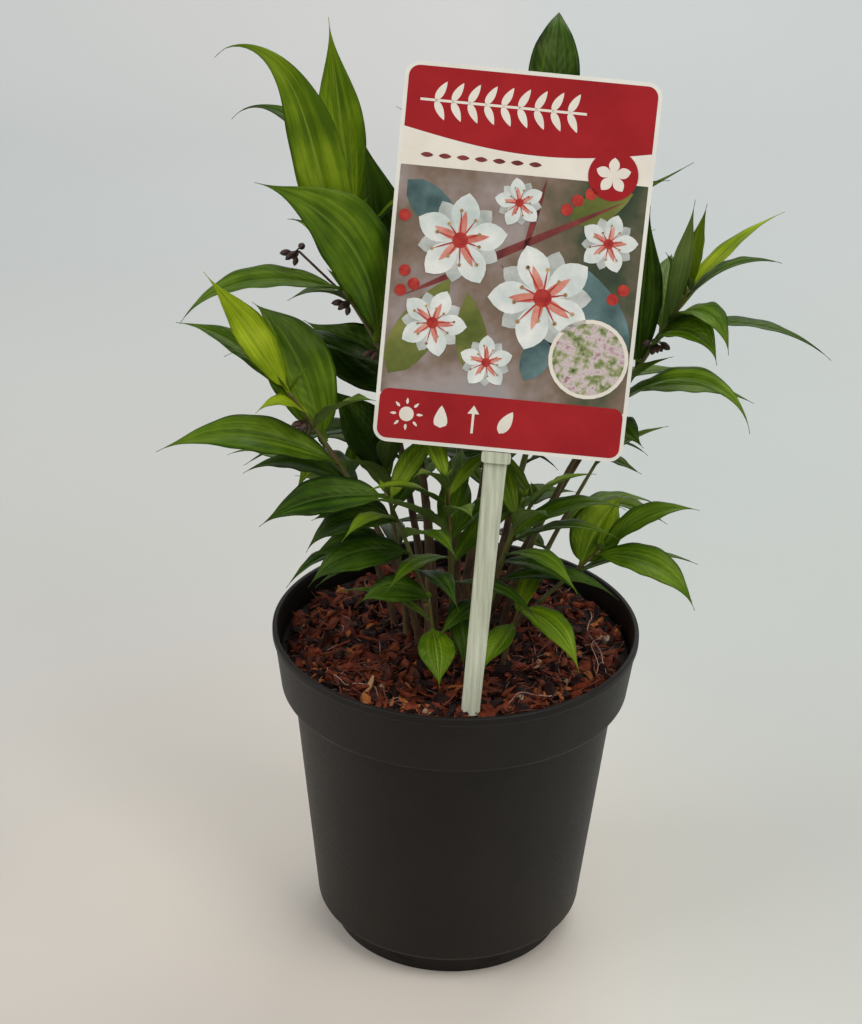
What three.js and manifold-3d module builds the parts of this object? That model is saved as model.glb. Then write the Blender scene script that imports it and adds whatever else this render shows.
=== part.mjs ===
// A potted sweet box: a small evergreen shrub of leafy shoots in a round black nursery pot, with its label.
// Millimetres, +Z up. The origin is the middle of the pot's flat underside, and the label faces -Y.
import * as THREE from 'three'
import { mergeVertices } from 'three/addons/utils/BufferGeometryUtils.js'
import Module from 'manifold-3d'

const wasm = await Module()
wasm.setup()

// The pot: a tapered body under a wide collar, standing on a narrower foot
const RIM_RADIUS = 80
const RIM_LIP = 2
const RIM_EASE = 0.8
const RIM_TALL = 3
const POT_HEIGHT = 149
const COLLAR_FOOT_RADIUS = 76
const COLLAR_FOOT_HEIGHT = 121
const BODY_TOP_RADIUS = 70.5
const BODY_TOP_HEIGHT = 118
const BODY_FOOT_RADIUS = 59.5
const BODY_FOOT_HEIGHT = 12
const FOOT_RADIUS = 53
const FOOT_HEIGHT = 8.5
const BASE_RADIUS = 52
const BASE_EASE = 1
const WALL = 1.4
const FLOOR = 1.8
const ROUND_STEPS = 48

// The drain slots that pierce the ledge between the body and the foot
const SLOT_COUNT = 8
const SLOT_WIDTH = 13
const SLOT_LOW = 4.5
const SLOT_TALL = 6
const SLOT_REACH = 8

// The compost fills the pot to a little under its rim
const SOIL = 139
const SOIL_FLAT_RADIUS = 56
const SOIL_EDGE = 137.5
const SOIL_CLEAR = 0.4
const GAP = 0.3

// The label: a printed card on a flat stake that leans back, pushed in at the front of the pot
const LABEL_FOOT = new THREE.Vector3(6.3, -60, SOIL)
const LEAN_BACK = 15
const LEAN_SIDE = 4
const CARD_WIDE = 102
const CARD_TALL = 153
const CARD_THICK = 1
const CARD_CORNER = 6
const STAKE_OUT = 112
const STAKE_IN = 24
const STAKE_THICK = 1.6
const STAKE_TOP_WIDE = 9.4
const STAKE_FOOT_WIDE = 7.6
const STAKE_POINT = 10
const SHOULDER_WIDE = 12
const SHOULDER_TALL = 5
const TONGUE_TALL = 62

// How leaves and stems are built
const GOLDEN_ANGLE = 137.5
const LEAF_STEPS = 24
const LONG_LEAF = 60
const LONG_STATIONS = [0, 3, 9, 15, 20]
const SHORT_STATIONS = [0, 3, 10, 18]
const LEAF_THICK = 0.013
const LEAF_THICK_LEAST = 0.9
const LEAF_FOLD = 0.24
const PETIOLE_SHARE = 0.07
const STEM_SIDES = 6
const STEM_CHECKS = 80
const FLARE = 0.4
const FLARE_SHARE = 0.06
const TIP_TAPER = 0.55
const BOUGH_SHORT = 0.03
const TIP_BUD = 3

// The flower buds in the leaf axils, three together
const BUD_SPREAD = [-50, 0, 50]
const BUD_DROOP = -12
const BUD_LENGTH = 6.5
const BUD_RADIUS = 1.3

// How far the points of a leaf keep from what they must not touch
const LEAF_CLEAR = 3.6
const OWN_LEAF_CLEAR = 2
const STEM_CLEAR = 4.8
const OWN_STEM_CLEAR = 3.2
const OWN_STEM_FREE = 10
const SOIL_ABOVE = 6
const RIM_BESIDE = 5
const RIM_ABOVE = 3.5
const LABEL_CLEAR = 4.5
const CARD_BESIDE = 3
const STAKE_BESIDE = 8
const STAKE_BELOW = 5
const CARD_VIEW_IN = 6
const CARD_VIEW_ABOVE = 12
const STAKE_VIEW_HALF = 4
const LIFTS = [0, 8, -8, 16, -16]
const TURNS = [0, 10, -10, 20, -20, 30, -30, 45, -45]

// The rule's leaves: length, rise and arch grow from a least value by a most gain, and chance strays them
const LENGTH_LEAST = 50
const LENGTH_GAIN = 24
const RISE_LEAST = 8
const RISE_GAIN = 52
const ARCH_LEAST = 30
const ARCH_STRAY = 40
const ARCH_LATE = 1.6
const BEARING_STRAY = 16
const RISE_STRAY = 14
const ROLL_STRAY = 24
const WIDE_LEAST = 0.22
const WIDE_STRAY = 0.04

// Each shoot: its foot on the compost, its tip, how late it bends outwards, its thickness at the foot, the
// share of the stem where its leaves begin, how many leaves the rule adds and their size, and the bearing
// of the first. A lead leaf is placed by hand: its share of the stem, bearing, rise, length, arch, how late
// the arch comes, roll and width. Buds have a share of the stem and a bearing. Bearings are degrees
// clockwise from the back, seen from above.
const SHOOTS = [
  { name: 'high_left', foot: [-12, -4], tip: [-50, -8, 307], bend: 3, thick: 3.4,
    first: 0.8, more: 2, size: 1, phase: 20,
    lead: [
      [0.97, 262, 77, 131, 155, 6.5, 71, 21],
      [1, 267, 13, 73, 76, 1.7, 14, 15],
      [0.86, 243, 93, 99, 75, 0.9, 70, 31],
    ],
    buds: [[0.97, 285], [0.84, 262]] },
  { name: 'tall_left', foot: [-10, 6], tip: [-46, 10, 330], bend: 2, thick: 4,
    first: 0.52, more: 6, size: 1, phase: 180,
    lead: [
      [1, 319, 77, 82, -4, 4.1, 41, 18],
      [0.9, 299, 67, 101, 126, 2.6, 20, 12],
      [0.7, 319, 80, 97, 19, 1.5, 40, 27],
      [0.6, 300, 29, 57, 15, 1.4, 40, 26],
    ] },
  { name: 'mid_left', foot: [-15, -12], tip: [-71, -22, 267], bend: 1.5, thick: 3.4,
    first: 0.5, more: 2, size: 1, phase: 10,
    lead: [
      [1, 262, 61, 63, 8, 1.4, 55, 15],
      [0.97, 289, 48, 61, 55, 1.4, 20, 12],
      [0.82, 319, 69, 71, 65, 1.4, 45, 27],
      [0.74, 263, 29, 79, 59, 1.4, 30, 18],
      [0.66, 274, 29, 49, 69, 1.5, 10, 13],
      [0.89, 246, 62, 30, 112, 1.4, 10, 10],
    ],
    buds: [[0.9, 262]] },
  { name: 'low_left', foot: [-9, -21], tip: [-31, -29, 226], bend: 1.6, thick: 3,
    first: 0.4, more: 6, size: 0.8, phase: 60,
    lead: [
      [0.98, 259, 9, 56, 51, 1.4, 30, 18],
      [0.84, 262, 13, 44, 81, 1.4, 20, 15],
      [0.66, 256, 12, 48, 70, 1.4, 25, 18],
    ] },
  { name: 'front', foot: [-1, -12], tip: [-6, -34, 236], bend: 1.3, thick: 3.2,
    first: 0.3, more: 15, size: 0.72, phase: 210, lead: [] },
  { name: 'front_right', foot: [10, -14], tip: [26, -30, 226], bend: 1.3, thick: 3,
    first: 0.35, more: 12, size: 0.75, phase: 180, lead: [] },
  { name: 'inner_left', foot: [-21, 3], tip: [-32, 2, 224], bend: 1.2, thick: 3,
    first: 0.4, more: 8, size: 0.75, phase: 250,
    lead: [
      [0.95, 285, 66, 46, 30, 1.4, 45, 20],
      [0.7, 250, 26, 38, 50, 1.4, 30, 18],
      [0.5, 262, 22, 40, 60, 1.4, 30, 17],
    ] },
  { name: 'inner_right', foot: [4, -3], tip: [32, -12, 218], bend: 1.2, thick: 3,
    first: 0.4, more: 9, size: 0.75, phase: 240, lead: [] },
  { name: 'basal_left', foot: [-8, -33], tip: [-12, -38, 182], bend: 1.3, thick: 2.4,
    first: 0.45, more: 1, size: 0.6, phase: 270,
    lead: [
      [1, 267, 27, 32, 79, 1.3, 34, 13],
      [0.63, 172, -6, 30, 62, 1.3, 0, 15],
    ] },
  { name: 'basal_right', foot: [20, -24], tip: [26, -30, 174], bend: 1.3, thick: 2.4,
    first: 0.45, more: 2, size: 0.6, phase: 240,
    lead: [
      [0.98, 138, 16, 44, 85, 1.2, -10, 13],
      [0.75, 200, -5, 28, 40, 1.2, 0, 12],
    ] },
  { name: 'low_right', foot: [16, -5], tip: [60, -14, 194], bend: 1.1, thick: 3,
    first: 0.5, more: 1, size: 0.8, phase: 110,
    lead: [
      [1, 85, 50, 48, 70, 1.5, -25, 11],
      [0.95, 117, 16, 54, 87, 1.5, -25, 15],
      [0.84, 53, 73, 37, 47, 1.1, -45, 21],
    ] },
  { name: 'mid_right', foot: [20, 5], tip: [61, -6, 260], bend: 1.4, thick: 3.4,
    first: 0.4, more: 8, size: 0.85, phase: 210,
    lead: [
      [0.95, 127, 42, 86, 128, 2.4, -10, 15],
      [0.9, 140, 20, 30, 50, 1.4, -10, 15],
      [0.8, 110, -7, 28, 18, 1.5, 0, 9],
    ] },
  { name: 'tall_right', foot: [12, 12], tip: [91, -2, 308], bend: 1.12, thick: 3.8,
    first: 0.6, more: 5, size: 0.85, phase: 310,
    lead: [
      [1, 50, 82, 36, 5, 1.4, 0, 8],
      [0.91, 162, 70, 62, -9, 1.8, 18, 8],
      [0.9, 58, 51, 72, 42, 1.4, 0, 9],
      [0.97, 100, 50, 46, 66, 1.7, 0, 11],
      [0.98, 305, 66, 20, 19, 1.4, 0, 8],
      [0.91, 144, 41, 47, 132, 1.8, -5, 15],
      [0.9, 95, 9, 72, 54, 1.8, 0, 10],
      [0.84, 138, 53, 47, 137, 1.7, -20, 18],
      [0.78, 20, 86, 70, 0, 1.4, -30, 15],
    ],
    buds: [[0.86, 150]] },
  { name: 'crown', foot: [2, 9], tip: [33, 26, 356], bend: 1.2, thick: 4.2,
    first: 0.52, more: 10, size: 1, phase: 15,
    lead: [
      [1, 5, 85, 67, 112, 2.6, 0, 20],
      [0.79, 89, 34, 79, 2, 1.2, 0, 10],
    ],
    buds: [[0.8, 200]] },
  { name: 'back_left', foot: [-13, 20], tip: [-46, 50, 302], bend: 1.3, thick: 3.8,
    first: 0.38, more: 13, size: 1, phase: 160, lead: [], buds: [[0.86, 300], [0.7, 20]] },
  { name: 'back', foot: [0, 24], tip: [0, 68, 322], bend: 1.3, thick: 3.8,
    first: 0.38, more: 13, size: 1, phase: 90, lead: [], buds: [[0.84, 10], [0.66, 80]] },
  { name: 'back_right', foot: [15, 23], tip: [50, 56, 292], bend: 1.3, thick: 3.6,
    first: 0.38, more: 11, size: 1, phase: 260, lead: [], buds: [[0.8, 60]] },
  { name: 'low_back_left', foot: [-27, 15], tip: [-60, 36, 216], bend: 1.3, thick: 3,
    first: 0.4, more: 7, size: 0.85, phase: 240, lead: [] },
  { name: 'low_back', foot: [8, 36], tip: [16, 64, 208], bend: 1.3, thick: 3,
    first: 0.4, more: 7, size: 0.85, phase: 270, lead: [] },
  { name: 'low_back_right', foot: [27, 17], tip: [62, 38, 214], bend: 1.3, thick: 3,
    first: 0.4, more: 5, size: 0.85, phase: 270, lead: [] },
]

const plastic = new THREE.MeshStandardMaterial({ color: 0x292623, roughness: 0.55, metalness: 0 })
const compostBrown = new THREE.MeshStandardMaterial({ color: 0x4a281c, roughness: 0.95, metalness: 0 })
const barkBrown = new THREE.MeshStandardMaterial({ color: 0x5d4426, roughness: 0.8, metalness: 0 })
const leafGreen = new THREE.MeshStandardMaterial({ color: 0x3d6a1c, roughness: 0.4, metalness: 0 })
const cardWhite = new THREE.MeshStandardMaterial({ color: 0xe9e4da, roughness: 0.35, metalness: 0 })
const stakeWhite = new THREE.MeshStandardMaterial({ color: 0xd9d9cc, roughness: 0.5, metalness: 0 })

const part = new THREE.Group()

function addPiece(name, geometry, material, parent = part) {
  const piece = new THREE.Mesh(geometry, material)
  piece.name = name
  parent.add(piece)
}

// Solids for cutting and joining, and back again
function toSolid(geometry) {
  const bare = geometry.clone()
  bare.deleteAttribute('normal')
  bare.deleteAttribute('uv')
  const merged = mergeVertices(bare, 1e-4)
  const vertProperties = new Float32Array(merged.getAttribute('position').array)
  const triVerts = new Uint32Array(merged.getIndex().array)
  return new wasm.Manifold(new wasm.Mesh({ numProp: 3, vertProperties, triVerts }))
}

function toGeometry(solid) {
  const mesh = solid.getMesh()
  const geometry = new THREE.BufferGeometry()
  geometry.setAttribute('position', new THREE.BufferAttribute(new Float32Array(mesh.vertProperties), 3))
  geometry.setIndex(new THREE.BufferAttribute(new Uint32Array(mesh.triVerts), 1))
  return geometry
}

function turned(profile) {
  const points = profile.map(([radius, height]) => new THREE.Vector2(radius, height))
  return new THREE.LatheGeometry(points, ROUND_STEPS).rotateX(Math.PI / 2)
}

// The pot is turned in one wall, then pierced by its drain slots
const INSIDE = [
  [BASE_RADIUS - WALL, FLOOR],
  [FOOT_RADIUS - WALL, FOOT_HEIGHT + WALL / 2],
  [BODY_FOOT_RADIUS - WALL, BODY_FOOT_HEIGHT + WALL],
  [BODY_TOP_RADIUS - WALL, BODY_TOP_HEIGHT + WALL],
  [COLLAR_FOOT_RADIUS - WALL, COLLAR_FOOT_HEIGHT + WALL / 2],
  [RIM_RADIUS - RIM_LIP - WALL / 2, POT_HEIGHT - RIM_LIP],
]

function potSolid() {
  const outside = [
    [0, 0],
    [BASE_RADIUS - BASE_EASE, 0],
    [BASE_RADIUS, BASE_EASE],
    [FOOT_RADIUS, FOOT_HEIGHT],
    [BODY_FOOT_RADIUS, BODY_FOOT_HEIGHT],
    [BODY_TOP_RADIUS, BODY_TOP_HEIGHT],
    [COLLAR_FOOT_RADIUS, COLLAR_FOOT_HEIGHT],
    [RIM_RADIUS - RIM_EASE, POT_HEIGHT - RIM_TALL],
    [RIM_RADIUS, POT_HEIGHT - RIM_TALL + RIM_EASE],
    [RIM_RADIUS, POT_HEIGHT - RIM_EASE],
    [RIM_RADIUS - RIM_EASE, POT_HEIGHT],
    [RIM_RADIUS - RIM_LIP, POT_HEIGHT],
  ]
  let pot = toSolid(turned([...outside, ...[...INSIDE].reverse(), [0, FLOOR]]))
  for (let i = 0; i < SLOT_COUNT; i++) {
    const slot = new THREE.BoxGeometry(SLOT_WIDTH, SLOT_REACH, SLOT_TALL)
    slot.translate(0, -(FOOT_RADIUS + BODY_FOOT_RADIUS) / 2, SLOT_LOW + SLOT_TALL / 2)
    slot.rotateZ(((i + 0.5) / SLOT_COUNT) * 2 * Math.PI)
    pot = pot.subtract(toSolid(slot))
  }
  return pot
}

// The label's own axes: across the card, up the stake, and out of the printed face
const leanBack = THREE.MathUtils.degToRad(LEAN_BACK)
const leanSide = THREE.MathUtils.degToRad(LEAN_SIDE)
const labelUp = new THREE.Vector3(
  Math.sin(leanSide), Math.sin(leanBack) * Math.cos(leanSide), Math.cos(leanBack) * Math.cos(leanSide))
const labelAcross = new THREE.Vector3(1, 0, 0).projectOnPlane(labelUp).normalize()
const labelOut = new THREE.Vector3().crossVectors(labelAcross, labelUp)
const labelPlace = new THREE.Matrix4().makeBasis(labelAcross, labelUp, labelOut).setPosition(LABEL_FOOT)

function cardGeometry() {
  const half = CARD_WIDE / 2
  const low = STAKE_OUT + GAP
  const high = STAKE_OUT + CARD_TALL
  const outline = new THREE.Shape()
  outline.moveTo(half - CARD_CORNER, low)
  outline.absarc(half - CARD_CORNER, low + CARD_CORNER, CARD_CORNER, -Math.PI / 2, 0, false)
  outline.absarc(half - CARD_CORNER, high - CARD_CORNER, CARD_CORNER, 0, Math.PI / 2, false)
  outline.absarc(CARD_CORNER - half, high - CARD_CORNER, CARD_CORNER, Math.PI / 2, Math.PI, false)
  outline.absarc(CARD_CORNER - half, low + CARD_CORNER, CARD_CORNER, Math.PI, Math.PI * 1.5, false)
  const card = new THREE.ExtrudeGeometry(outline, { depth: CARD_THICK, bevelEnabled: false, curveSegments: 5 })
  return card.translate(0, 0, GAP)
}

function stakeGeometry() {
  const top = STAKE_TOP_WIDE / 2
  const foot = STAKE_FOOT_WIDE / 2
  const outline = new THREE.Shape()
  outline.moveTo(0, -STAKE_IN)
  outline.lineTo(foot, STAKE_POINT - STAKE_IN)
  outline.lineTo(top, STAKE_OUT - SHOULDER_TALL)
  outline.lineTo(top, STAKE_OUT + TONGUE_TALL)
  outline.lineTo(-top, STAKE_OUT + TONGUE_TALL)
  outline.lineTo(-top, STAKE_OUT - SHOULDER_TALL)
  outline.lineTo(-foot, STAKE_POINT - STAKE_IN)
  outline.closePath()
  const blade = new THREE.ExtrudeGeometry(outline, { depth: STAKE_THICK, bevelEnabled: false })
  blade.translate(0, 0, -STAKE_THICK)
  const deep = STAKE_THICK + GAP + CARD_THICK
  const shoulder = new THREE.BoxGeometry(SHOULDER_WIDE, SHOULDER_TALL, deep)
  shoulder.translate(0, STAKE_OUT - SHOULDER_TALL / 2, deep / 2 - STAKE_THICK)
  return toGeometry(toSolid(blade).add(toSolid(shoulder)))
}

// The compost fits inside the pot and has a slit where the stake is pushed in
function compostSolid() {
  const wall = INSIDE.filter(([, height]) => height < SOIL_EDGE - 1)
  const edgeRadius = THREE.MathUtils.lerp(INSIDE[4][0], INSIDE[5][0],
    (SOIL_EDGE - INSIDE[4][1]) / (INSIDE[5][1] - INSIDE[4][1]))
  const fill = wall.map(([radius, height]) => [radius - SOIL_CLEAR, height + GAP])
  const top = [[edgeRadius - SOIL_CLEAR, SOIL_EDGE], [SOIL_FLAT_RADIUS, SOIL], [0, SOIL]]
  const slit = new THREE.BoxGeometry(STAKE_TOP_WIDE + 2 * GAP, 2 * STAKE_IN + 2 * GAP, STAKE_THICK + 2 * GAP)
  slit.translate(0, 0, -STAKE_THICK / 2)
  slit.applyMatrix4(labelPlace)
  return toSolid(turned([[0, FLOOR + GAP], ...fill, ...top])).subtract(toSolid(slit))
}

// A repeatable number from 0 to 1 for each key
function chance(key) {
  const wave = Math.sin(key * 12.9898) * 43758.5453
  return wave - Math.floor(wave)
}

// The direction of a compass bearing and a rise above the level, both in degrees
function heading(bearing, rise) {
  const turn = THREE.MathUtils.degToRad(bearing)
  const lift = THREE.MathUtils.degToRad(rise)
  return new THREE.Vector3(Math.sin(turn) * Math.cos(lift), Math.cos(turn) * Math.cos(lift), Math.sin(lift))
}

function stemPoint(shoot, share) {
  const out = share ** shoot.bend
  const [x, y, z] = shoot.tip
  return new THREE.Vector3(
    THREE.MathUtils.lerp(shoot.foot[0], x, out),
    THREE.MathUtils.lerp(shoot.foot[1], y, out),
    THREE.MathUtils.lerp(SOIL + GAP, z, share))
}

function stemRadius(shoot, share) {
  const flare = FLARE * Math.max(0, 1 - share / FLARE_SHARE)
  return (shoot.thick / 2) * (1 - TIP_TAPER * share + flare)
}

// The widest share of a leaf is near its middle, with a thin petiole below and a drawn-out tip above
function halfWidth(share, width) {
  if (share < PETIOLE_SHARE) return width * 0.06
  const along = (share - PETIOLE_SHARE) / (1 - PETIOLE_SHARE)
  const belly = Math.max(0, Math.sin(Math.PI * along ** 0.8)) ** (0.7 + 1.5 * along)
  return width * (0.5 * belly + 0.04 * (1 - along))
}

// A leaf's midrib, with the direction across the blade at each step
function leafLine(root, leaf) {
  const line = []
  const point = root.clone()
  for (let i = 0; i <= LEAF_STEPS; i++) {
    const along = heading(leaf.bearing, leaf.rise - leaf.arch * (i / LEAF_STEPS) ** leaf.late)
    const level = heading(leaf.bearing + 90, 0)
    const upper = new THREE.Vector3().crossVectors(level, along)
    const roll = THREE.MathUtils.degToRad(leaf.roll)
    const across = level.multiplyScalar(Math.cos(roll)).addScaledVector(upper, Math.sin(roll))
    line.push({ point: point.clone(), along, across, half: halfWidth(i / LEAF_STEPS, leaf.width) })
    point.addScaledVector(along, leaf.length / LEAF_STEPS)
  }
  return line
}

// Points all over the blade, petiole apart, for the tests of clearance
function leafChecks(line) {
  const checks = []
  for (const step of line.slice(3)) {
    for (let i = -3; i <= 3; i++) {
      checks.push(step.point.clone().addScaledVector(step.across, (step.half * i) / 3))
    }
  }
  return { points: checks, box: new THREE.Box3().setFromPoints(checks) }
}

function keepsClear(checks, others, clear) {
  if (!checks.box.clone().expandByScalar(clear).intersectsBox(others.box)) return true
  const nearBy = others.points.filter((point) => checks.box.distanceToPoint(point) < clear)
  return nearBy.every((other) => checks.points.every((point) => point.distanceToSquared(other) > clear * clear))
}

function clearOfPot({ points }) {
  return points.every((point) => {
    const radius = Math.hypot(point.x, point.y)
    if (radius < RIM_RADIUS - 2 * RIM_LIP) return point.z > SOIL + SOIL_ABOVE
    return radius > RIM_RADIUS + RIM_BESIDE || point.z > POT_HEIGHT + RIM_ABOVE
  })
}

// Leaves keep off the card and the stake, and out of the space in front of them
function clearOfLabel({ points }) {
  return points.every((point) => {
    const from = point.clone().sub(LABEL_FOOT)
    const across = Math.abs(from.dot(labelAcross))
    const up = from.dot(labelUp)
    const out = from.dot(labelOut)
    const cardTop = STAKE_OUT + CARD_TALL
    const byCard = across < CARD_WIDE / 2 + CARD_BESIDE
      && up > STAKE_OUT - CARD_BESIDE && up < cardTop + CARD_BESIDE
    const byStake = across < STAKE_BESIDE && up > -STAKE_BELOW && up < STAKE_OUT + TONGUE_TALL
    const beforeCard = across < CARD_WIDE / 2 - CARD_VIEW_IN && up > STAKE_OUT && up < cardTop + CARD_VIEW_ABOVE
    const beforeStake = across < STAKE_VIEW_HALF && up > STAKE_VIEW_HALF && up < STAKE_OUT
    if ((byCard || byStake) && Math.abs(out) < LABEL_CLEAR) return false
    return !((beforeCard || beforeStake) && out > 0)
  })
}

const stemChecks = new Map()
for (const shoot of SHOOTS) {
  const points = []
  for (let i = 0; i <= STEM_CHECKS; i++) points.push(stemPoint(shoot, i / STEM_CHECKS))
  stemChecks.set(shoot, { points, box: new THREE.Box3().setFromPoints(points) })
}

const grown = []

function fits(shoot, leaf, checks) {
  if (!clearOfPot(checks) || !clearOfLabel(checks)) return false
  for (const other of SHOOTS) {
    const stem = stemChecks.get(other)
    if (other !== shoot && !keepsClear(checks, stem, STEM_CLEAR)) return false
  }
  const free = Math.round(leaf.at * STEM_CHECKS) - OWN_STEM_FREE
  const below = stemChecks.get(shoot).points.slice(0, Math.max(2, free))
  const lower = { points: below, box: new THREE.Box3().setFromPoints(below) }
  if (!keepsClear(checks, lower, OWN_STEM_CLEAR)) return false
  return grown.every((other) => keepsClear(checks, other.checks,
    other.shoot === shoot ? OWN_LEAF_CLEAR : LEAF_CLEAR))
}

// A leaf that would touch something is turned or lifted a little, and left out if that doesn't help
function growLeaf(shoot, wanted) {
  const root = stemPoint(shoot, wanted.at)
  for (const lift of LIFTS) {
    for (const turn of TURNS) {
      const leaf = { ...wanted, bearing: wanted.bearing + turn, rise: wanted.rise + lift }
      const line = leafLine(root, leaf)
      const checks = leafChecks(line)
      if (fits(shoot, leaf, checks)) {
        grown.push({ shoot, leaf, line, checks })
        return
      }
    }
  }
}

// The rule: leaves climb the stem by the golden angle, low and spreading below, steeper near the tip
function ruleLeaf(shoot, index, number) {
  const share = (index + 0.5) / shoot.more
  const key = number * 31 + index * 7 + 1
  const belly = Math.sin(Math.PI * Math.min(1, share * 1.15) ** 0.9)
  const length = shoot.size * (LENGTH_LEAST + LENGTH_GAIN * belly) * (0.9 + 0.2 * chance(key + 2))
  return {
    at: shoot.first + (1 - shoot.first) * share,
    bearing: shoot.phase + GOLDEN_ANGLE * index + BEARING_STRAY * (chance(key) - 0.5),
    rise: RISE_LEAST + RISE_GAIN * share ** 1.3 + RISE_STRAY * (chance(key + 1) - 0.5),
    length,
    arch: ARCH_LEAST + ARCH_STRAY * chance(key + 3),
    late: ARCH_LATE,
    roll: ROLL_STRAY * (chance(key + 4) - 0.5),
    width: length * (WIDE_LEAST + WIDE_STRAY * chance(key + 5)),
  }
}

for (const shoot of SHOOTS) {
  for (const [at, bearing, rise, length, arch, late, roll, width] of shoot.lead) {
    growLeaf(shoot, { at, bearing, rise, length, arch, late, roll, width })
  }
}
SHOOTS.forEach((shoot, number) => {
  for (let index = 0; index < shoot.more; index++) growLeaf(shoot, ruleLeaf(shoot, index, number))
})

// A closed skin over rings of corners, ending in a flat face or in a single point
function skinned(rings) {
  const corners = rings.flat()
  const starts = rings.map((ring, i) => rings.slice(0, i).reduce((sum, before) => sum + before.length, 0))
  const sides = rings[0].length
  const faces = []
  for (let i = 0; i + 1 < rings.length; i++) {
    for (let k = 0; k < sides; k++) {
      const next = (k + 1) % sides
      if (rings[i + 1].length === 1) {
        faces.push(starts[i] + k, starts[i] + next, starts[i + 1])
      } else {
        faces.push(starts[i] + k, starts[i] + next, starts[i + 1] + next)
        faces.push(starts[i] + k, starts[i + 1] + next, starts[i + 1] + k)
      }
    }
  }
  for (let k = 1; k + 1 < sides; k++) {
    const middle = (k + 1) % sides
    const far = (k + 2) % sides
    faces.push(starts[0] + 1, starts[0] + far, starts[0] + middle)
    const last = rings.length - 1
    if (rings[last].length > 1) faces.push(starts[last] + 1, starts[last] + middle, starts[last] + far)
  }
  const geometry = new THREE.BufferGeometry().setFromPoints(corners)
  geometry.setIndex(faces)
  return geometry
}

// A blade with a lens section, folded a little along its midrib and never thinner than its share of length
function leafGeometry(line, leaf) {
  const thick = Math.max(LEAF_THICK_LEAST, leaf.length * LEAF_THICK) / 2
  const stations = leaf.length > LONG_LEAF ? LONG_STATIONS : SHORT_STATIONS
  const rings = stations.map((station) => {
    const { point, along, across, half } = line[station]
    const upper = new THREE.Vector3().crossVectors(across, along)
    const edge = point.clone().addScaledVector(upper, half * LEAF_FOLD)
    return [
      edge.clone().addScaledVector(across, half),
      point.clone().addScaledVector(upper, -thick),
      edge.clone().addScaledVector(across, -half),
      point.clone().addScaledVector(upper, thick),
    ]
  })
  return skinned([...rings, [line[LEAF_STEPS].point.clone()]])
}

function stemRing(shoot, share, shift = 0) {
  const along = stemPoint(shoot, share + 0.01).sub(stemPoint(shoot, share - 0.01)).normalize()
  if (share < 0.01) along.set(0, 0, 1)
  const across = new THREE.Vector3(0, 1, 0).cross(along).normalize()
  const front = new THREE.Vector3().crossVectors(along, across)
  const centre = stemPoint(shoot, share).addScaledVector(along, shift)
  const ring = []
  for (let i = 0; i < STEM_SIDES; i++) {
    const angle = (i / STEM_SIDES) * 2 * Math.PI
    const reach = stemRadius(shoot, share)
    ring.push(centre.clone()
      .addScaledVector(across, Math.cos(angle) * reach)
      .addScaledVector(front, Math.sin(angle) * reach))
  }
  return ring
}

function budGeometry(shoot, at, bearing) {
  const along = heading(bearing, BUD_DROOP)
  const level = heading(bearing + 90, 0)
  const upper = new THREE.Vector3().crossVectors(level, along)
  const root = stemPoint(shoot, at)
  const ring = (reach, radius) => [[1, 0], [0, -1], [-1, 0], [0, 1]].map(([a, b]) => root.clone()
    .addScaledVector(along, reach).addScaledVector(level, a * radius).addScaledVector(upper, b * radius))
  return skinned([ring(0, BUD_RADIUS / 2), ring(BUD_LENGTH * 0.65, BUD_RADIUS),
    [root.clone().addScaledVector(along, BUD_LENGTH)]])
}

// The share of the stem where the bough ends and the leafy shoot begins, 0.3 mm apart
function cutShare(shoot) {
  return shoot.first - BOUGH_SHORT
}

function stemGeometry(shoot) {
  const cut = cutShare(shoot)
  const shares = [0, 0.03, 0.07]
  for (let share = 0.16; share < cut - 0.03; share += 0.1) shares.push(share)
  const rings = shares.map((share) => stemRing(shoot, share))
  return skinned([...rings, stemRing(shoot, cut, -GAP / 2)])
}

function shootSolid(shoot) {
  const cut = cutShare(shoot)
  const rings = [stemRing(shoot, cut, GAP / 2)]
  for (let share = cut + 0.08; share < 0.96; share += 0.1) rings.push(stemRing(shoot, share))
  const end = stemPoint(shoot, 1)
  const beyond = end.clone().sub(stemPoint(shoot, 0.98)).setLength(TIP_BUD)
  let solid = toSolid(skinned([...rings, stemRing(shoot, 1), [end.add(beyond)]]))
  for (const { leaf, line } of grown.filter((one) => one.shoot === shoot)) {
    solid = solid.add(toSolid(leafGeometry(line, leaf)))
  }
  for (const [at, bearing] of shoot.buds ?? []) {
    for (const spread of BUD_SPREAD) solid = solid.add(toSolid(budGeometry(shoot, at, bearing + spread)))
  }
  return solid
}

addPiece('pot', toGeometry(potSolid()), plastic)
addPiece('compost', toGeometry(compostSolid()), compostBrown)

const label = new THREE.Group()
label.applyMatrix4(labelPlace)
part.add(label)
addPiece('label_card', cardGeometry(), cardWhite, label)
addPiece('label_stake', stakeGeometry(), stakeWhite, label)

for (const shoot of SHOOTS) {
  addPiece(`stem_${shoot.name}`, stemGeometry(shoot), barkBrown)
  addPiece(`shoot_${shoot.name}`, toGeometry(shootSolid(shoot)), leafGreen)
}

export default part
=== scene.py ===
import math

import bmesh
import bpy
import numpy as np
from mathutils import Matrix, Vector, noise
from mathutils.geometry import tessellate_polygon


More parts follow.
